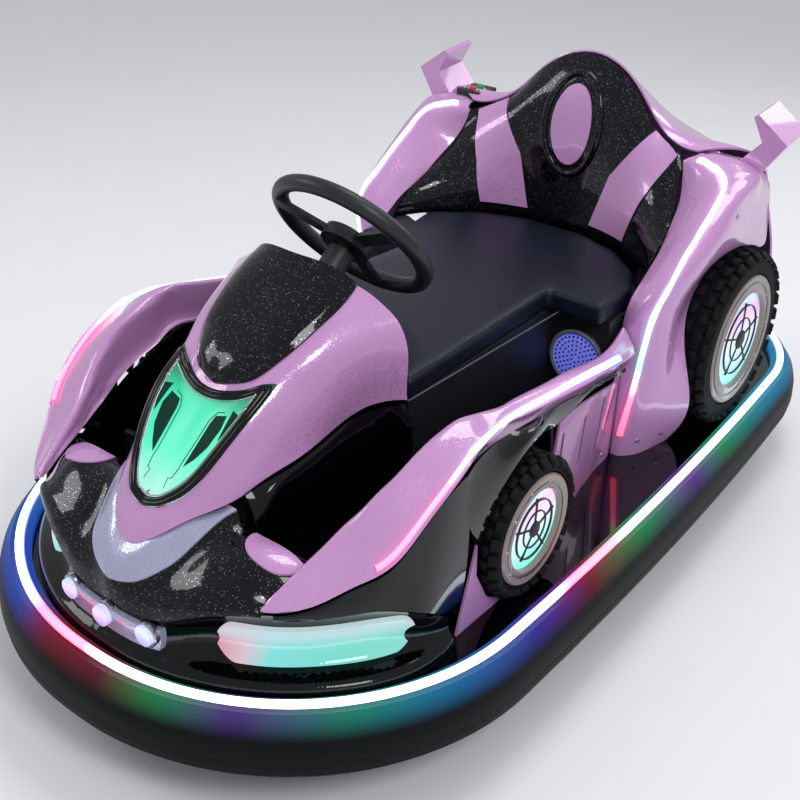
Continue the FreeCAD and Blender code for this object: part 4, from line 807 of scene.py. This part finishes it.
# %% [markdown]
# ## Seat pad
# The pad is foam under slate vinyl: a T shape, crowned, with sides that pull in. It is swollen by a
# short cloth run from a slightly smaller copy of the solid, then gets its welt and its tag.
# %% Swell the pad
CLOTH_FRAMES = 20
CAP = 0.0045  # the farthest that the cloth run may move a point
EDGE = 0.0003  # what stays free inside the box of the solid
pad = object_from("seat_pad", merged("seat_cushion"), 60)
low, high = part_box("seat_cushion")
for vertex in pad.data.vertices:
    vertex.co.z = low.z + (vertex.co.z - low.z) * 0.93
remesh = pad.modifiers.new("remesh", "REMESH")
remesh.mode = "VOXEL"
remesh.voxel_size = 0.006
dense = mesh_of(pad)
pad.modifiers.clear()
pad.data = dense
start = [v.co.copy() for v in pad.data.vertices]
scene = bpy.context.scene
cloth = pad.modifiers.new("foam", "CLOTH")
cloth.settings.use_pressure = True
cloth.settings.uniform_pressure_force = 4.0
cloth.settings.effector_weights.gravity = 0.0
cloth.point_cache.frame_start = 1
cloth.point_cache.frame_end = CLOTH_FRAMES
for step in range(1, CLOTH_FRAMES + 1):
    scene.frame_set(step)
swollen = mesh_of(pad)
pad.modifiers.clear()
scene.frame_set(1)
for vertex, home, moved in zip(pad.data.vertices, start, swollen.vertices):
    away = moved.co - home
    if away.length > CAP:
        away = away.normalized() * CAP
    vertex.co = home + away
    vertex.co.z = max(low.z + EDGE, vertex.co.z)
    vertex.co.x = max(low.x + EDGE, min(high.x - EDGE, vertex.co.x))
for face in pad.data.polygons:
    face.use_smooth = True
round_off = pad.modifiers.new("round_off", "SMOOTH")
round_off.factor = 0.5
round_off.iterations = 4
take_over(pad, "kart", "vinyl_slate", slate_vinyl, "seat_cushion")
print("pad vertices:", len(pad.data.vertices))

# %% [markdown]
# A welt covers the edge where the pad meets the tunnel top, and a blank white care tag is sewn on
# at the right.
# %% Welt and tag
edge = [(0.1955, 0.05), (0.1955, -0.4345), (-0.1955, -0.4345), (-0.1955, 0.05)]
WELT_Z = 0.4965
WELT_STEPS = 24
line = []
for (x0, y0), (x1, y1) in zip(edge, edge[1:]):
    line += [(x0 + (x1 - x0) * k / WELT_STEPS, y0 + (y1 - y0) * k / WELT_STEPS, WELT_Z)
             for k in range(WELT_STEPS + 1)]
welt_grey = moulded("grey_welt", "#565A66", "#4B4F5A", 0.5, 1.0, 0.05)
take_over(bead("pad_welt", line, 0.0016, False, welt_grey), "kart", "vinyl_slate", None)
pad_skin = skin_of(pad.data)
tag_white = moulded("white_tag", "#F2F2F4", "#E9E9EC", 0.6, 0.8, 0.05)
TAG = [(-0.286, 0.165), (-0.225, 0.135), (-0.238, 0.195), (-0.286, 0.215)]
tag = plaque("pad_tag", TAG, pad_skin, lambda flat: Vector((flat[0], flat[1], 0.7)), (0, 0, -1),
             0.0003, 0.0006, tag_white, 0.006)
take_over(tag, "kart", "vinyl_slate", None)
print("welt and tag done")

# %% [markdown]
# ## Bumper lines
# The rubber has fine raised lines round its outer face, and a thin coloured lens lies along the
# inner lip of the white strip. Both follow the oval, so their points come from rays sent at the
# rubber and at the strip from the middle line of the kart.
# %% Lines round the oval
ROUND = 240


def round_the_oval(skin, height, outward, lift):
    """Points on the skin all round the kart at one height, seen from inside or from outside."""
    places = []
    for k in range(ROUND):
        turn = 2 * math.pi * k / ROUND
        way = Vector((math.cos(turn), math.sin(turn), 0))
        root = Vector((0, 0.52 * math.sin(turn), height))
        place = drop(skin, root if outward else root + way * 1.2, way if outward else -way, lift)
        if place:
            places.append(place)
    return places


rubber_skin = skin_of(nodes["bumper_ring"].data)
for k, height in enumerate((0.128, 0.136, 0.180)):
    line = round_the_oval(rubber_skin, height, False, -0.0008)
    take_over(bead(f"bumper_line_{k}", line, 0.0014, True, bumper_rubber), "kart", "bumper_rubber", None)
lip_glow = lit("inner_lip_lens", GLOW_STOPS, 1.6, "ANGLE", -math.pi, math.pi)
line = round_the_oval(skin_of(nodes["bumper_light"].data), 0.2145, True, 0.0012)
take_over(bead("inner_lip_lens", line, 0.0016, True, lip_glow), "kart", "light_strip", None)
print("oval points:", len(line))

# %% [markdown]
# ## Tail
# The tail shell lifts off for the battery. A fine joint line marks the hatch at its middle, with
# three screws down each side, and more screws hold the shell along its foot and its flanks.
# %% Hatch line and shell screws
tail_skin = skin_of(nodes["tail_cowl"].data)
hatch = []
HATCH_CORNERS = [(0.16, 0.30), (0.16, 0.52), (-0.16, 0.52), (-0.16, 0.30)]
for (x0, z0), (x1, z1) in zip(HATCH_CORNERS, HATCH_CORNERS[1:] + HATCH_CORNERS[:1]):
    for k in range(3, 28):
        hatch.append((x0 + (x1 - x0) * k / 30, 1.3, z0 + (z1 - z0) * k / 30))
hatch = [drop(tail_skin, p, FORWARD, -0.0004) for p in hatch]
take_over(bead("tail_hatch_line", [p for p in hatch if p], 0.0011, True, black_abs),
          "kart", "deck_black", None)
SCREW = [(0, -0.001), (0.0052, -0.001), (0.005, 0.0008), (0.0035, 0.0022), (0.0014, 0.0014), (0, 0.0014)]


def shell_screws(name, skin, spots, way):
    """Round-headed screws that sit square on a shell."""
    parts = []
    for spot in spots:
        hit, normal, _, _ = skin.ray_cast(Vector(spot), Vector(way).normalized())
        if hit is not None:
            parts.append((SCREW, hit, 1, 18, normal))
    turned_piece(name, parts, bright_steel, "steel_black")
    print(name, len(parts))


corner_screws = [(s * 0.145, 1.3, z) for s in SIGNS for z in (0.318, 0.41, 0.502)]
foot_screws = [(x, 1.3, 0.215) for x in (-0.24, -0.12, 0.0, 0.12, 0.24)]
shell_screws("tail_screws", tail_skin, corner_screws + foot_screws, FORWARD)
for side, sign in (("left", 1), ("right", -1)):
    quarter_skin = skin_of(nodes["quarter_" + side].data)
    spots = [(sign * 0.6, y, z) for y, z in ((0.14, 0.225), (0.2, 0.225), (0.17, 0.44), (0.33, 0.66))]
    shell_screws("quarter_screws_" + side, quarter_skin, spots, (-sign, 0, 0))
    vent_spots = [(sign * 0.6, y, z) for y, z in ((-0.18, 0.215), (0.06, 0.215), (0.06, 0.37))]
    shell_screws("vent_screws_" + side, skin_of(nodes["side_vents"].data), vent_spots, (-sign, 0, 0))

# %% [markdown]
# ## Underside and deck fixings
# Hex bolts hold the deck to the chassis tubes. There are two rows of them, so Geometry Nodes place
# them on a straight line with a count and the length of the whole run. The run is 150 mm.
# %% Rows of hex bolts
bolts = bpy.data.node_groups.new("bolt_row", "GeometryNodeTree")
bolts.interface.new_socket("Geometry", in_out="INPUT", socket_type="NodeSocketGeometry")
bolts.interface.new_socket("Bolts", in_out="INPUT", socket_type="NodeSocketInt")
bolts.interface.new_socket("Run", in_out="INPUT", socket_type="NodeSocketFloat")
bolts.interface.new_socket("Across", in_out="INPUT", socket_type="NodeSocketFloat")
bolts.interface.new_socket("Geometry", in_out="OUTPUT", socket_type="NodeSocketGeometry")
given = add(bolts, "NodeGroupInput")
reach = add(bolts, "ShaderNodeCombineXYZ", None, {"Y": given.outputs["Run"]})
row = add(bolts, "GeometryNodeMeshLine", {"mode": "END_POINTS"},
          {"Count": given.outputs["Bolts"], "Start Location": (0, 0, 0), "Offset": reach.outputs[0]})
head = add(bolts, "GeometryNodeMeshCylinder", None,
           {"Vertices": 6, "Radius": given.outputs["Across"], "Depth": 0.005})
washer = add(bolts, "GeometryNodeMeshCylinder", None,
             {"Vertices": 20, "Radius": 0.0095, "Depth": 0.0016})
lowered = add(bolts, "GeometryNodeTransform", None,
              {"Geometry": washer.outputs[0], "Translation": (0, 0, -0.0028)})
bolt = add(bolts, "GeometryNodeJoinGeometry")
bolts.links.new(head.outputs[0], bolt.inputs[0])
bolts.links.new(lowered.outputs[0], bolt.inputs[0])
placed = add(bolts, "GeometryNodeInstanceOnPoints", None,
             {"Points": row.outputs[0], "Instance": bolt.outputs[0]})
real = add(bolts, "GeometryNodeRealizeInstances", None, {0: placed.outputs[0]})
dressed = add(bolts, "GeometryNodeSetMaterial", None,
              {"Geometry": real.outputs[0], "Material": bright_steel})
add(bolts, "NodeGroupOutput", None, {0: dressed.outputs[0]})
low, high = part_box("chassis_frame")
under = Matrix.Diagonal((1, 1, -1, 1))
rail_x = high.x - 0.02
BOLTS_A_SIDE = 9
places = [Matrix.Translation((s * rail_x, -0.6, low.z - 0.0034)) @ under for s in SIGNS]
bolt_sizes = {"Bolts": BOLTS_A_SIDE, "Run": 0.15, "Across": 0.0065}
take_over(grown("chassis_bolts", bolts, bolt_sizes, places, 0.0006), "kart", "steel_black", bright_steel)
print("chassis bolts:", BOLTS_A_SIDE * len(places))

# %% [markdown]
# ## Floor, light and camera
# A pale floor and soft lamps show each colour about as it is written.
# %% Stage
floor_mesh = bpy.data.meshes.new("studio_floor")
SIDE = 12.0
corners = [(-SIDE, -SIDE, 0), (SIDE, -SIDE, 0), (SIDE, SIDE, 0), (-SIDE, SIDE, 0)]
floor_mesh.from_pydata(corners, [], [(0, 1, 2, 3)])
floor = bpy.data.objects.new("studio_floor", floor_mesh)
bpy.context.collection.objects.link(floor)
floor_mesh.materials.append(moulded("studio_paper", "#F4F4F6", "#F1F1F4", 0.9, 3.0, 0.05))
world = bpy.data.worlds.new("studio")
bpy.context.scene.world = world
world.use_nodes = True
world.node_tree.nodes["Background"].inputs[0].default_value = linear("#EEF0F4")
world.node_tree.nodes["Background"].inputs[1].default_value = 0.6
LAMPS = [("key_softbox", (2.6, -1.6, 3.2), 1.1, 48), ("fill_softbox", (-2.8, -2.2, 2.6), 1.2, 24),
         ("top_softbox", (0.2, 0.9, 3.8), 1.4, 34), ("rear_softbox", (0.6, 3.4, 2.4), 1.2, 18)]
for name, spot, side, power in LAMPS:
    data = bpy.data.lights.new(name, "AREA")
    data.shape = "SQUARE"
    data.size = side
    data.energy = power
    lamp = bpy.data.objects.new(name, data)
    lamp.location = spot
    lamp.rotation_euler = (Vector((0, 0, 0.35)) - Vector(spot)).to_track_quat("-Z", "Y").to_euler()
    bpy.context.collection.objects.link(lamp)
camera_data = bpy.data.cameras.new("camera")
camera_data.lens = 53.99
camera_data.sensor_width = 36.0
camera_data.shift_x = 0.0404
camera_data.shift_y = -0.0723
camera = bpy.data.objects.new("camera", camera_data)
camera.rotation_mode = "QUATERNION"
turned = Matrix(((0.775, -0.302, 0.555), (0.631, 0.326, -0.704), (0.032, 0.896, 0.443)))
camera.rotation_quaternion = turned.to_quaternion()
camera.location = (1.1951, -1.8158, 1.4419)
bpy.context.collection.objects.link(camera)
bpy.context.scene.camera = camera
bpy.context.scene.view_settings.view_transform = "Standard"
print("lamps:", len(LAMPS))

# %% [markdown]
# ## Last update
# The view layer is brought up to date. The dressed kart has to stay in the box of its
# solids.
# %% Finish
bpy.context.view_layer.update()
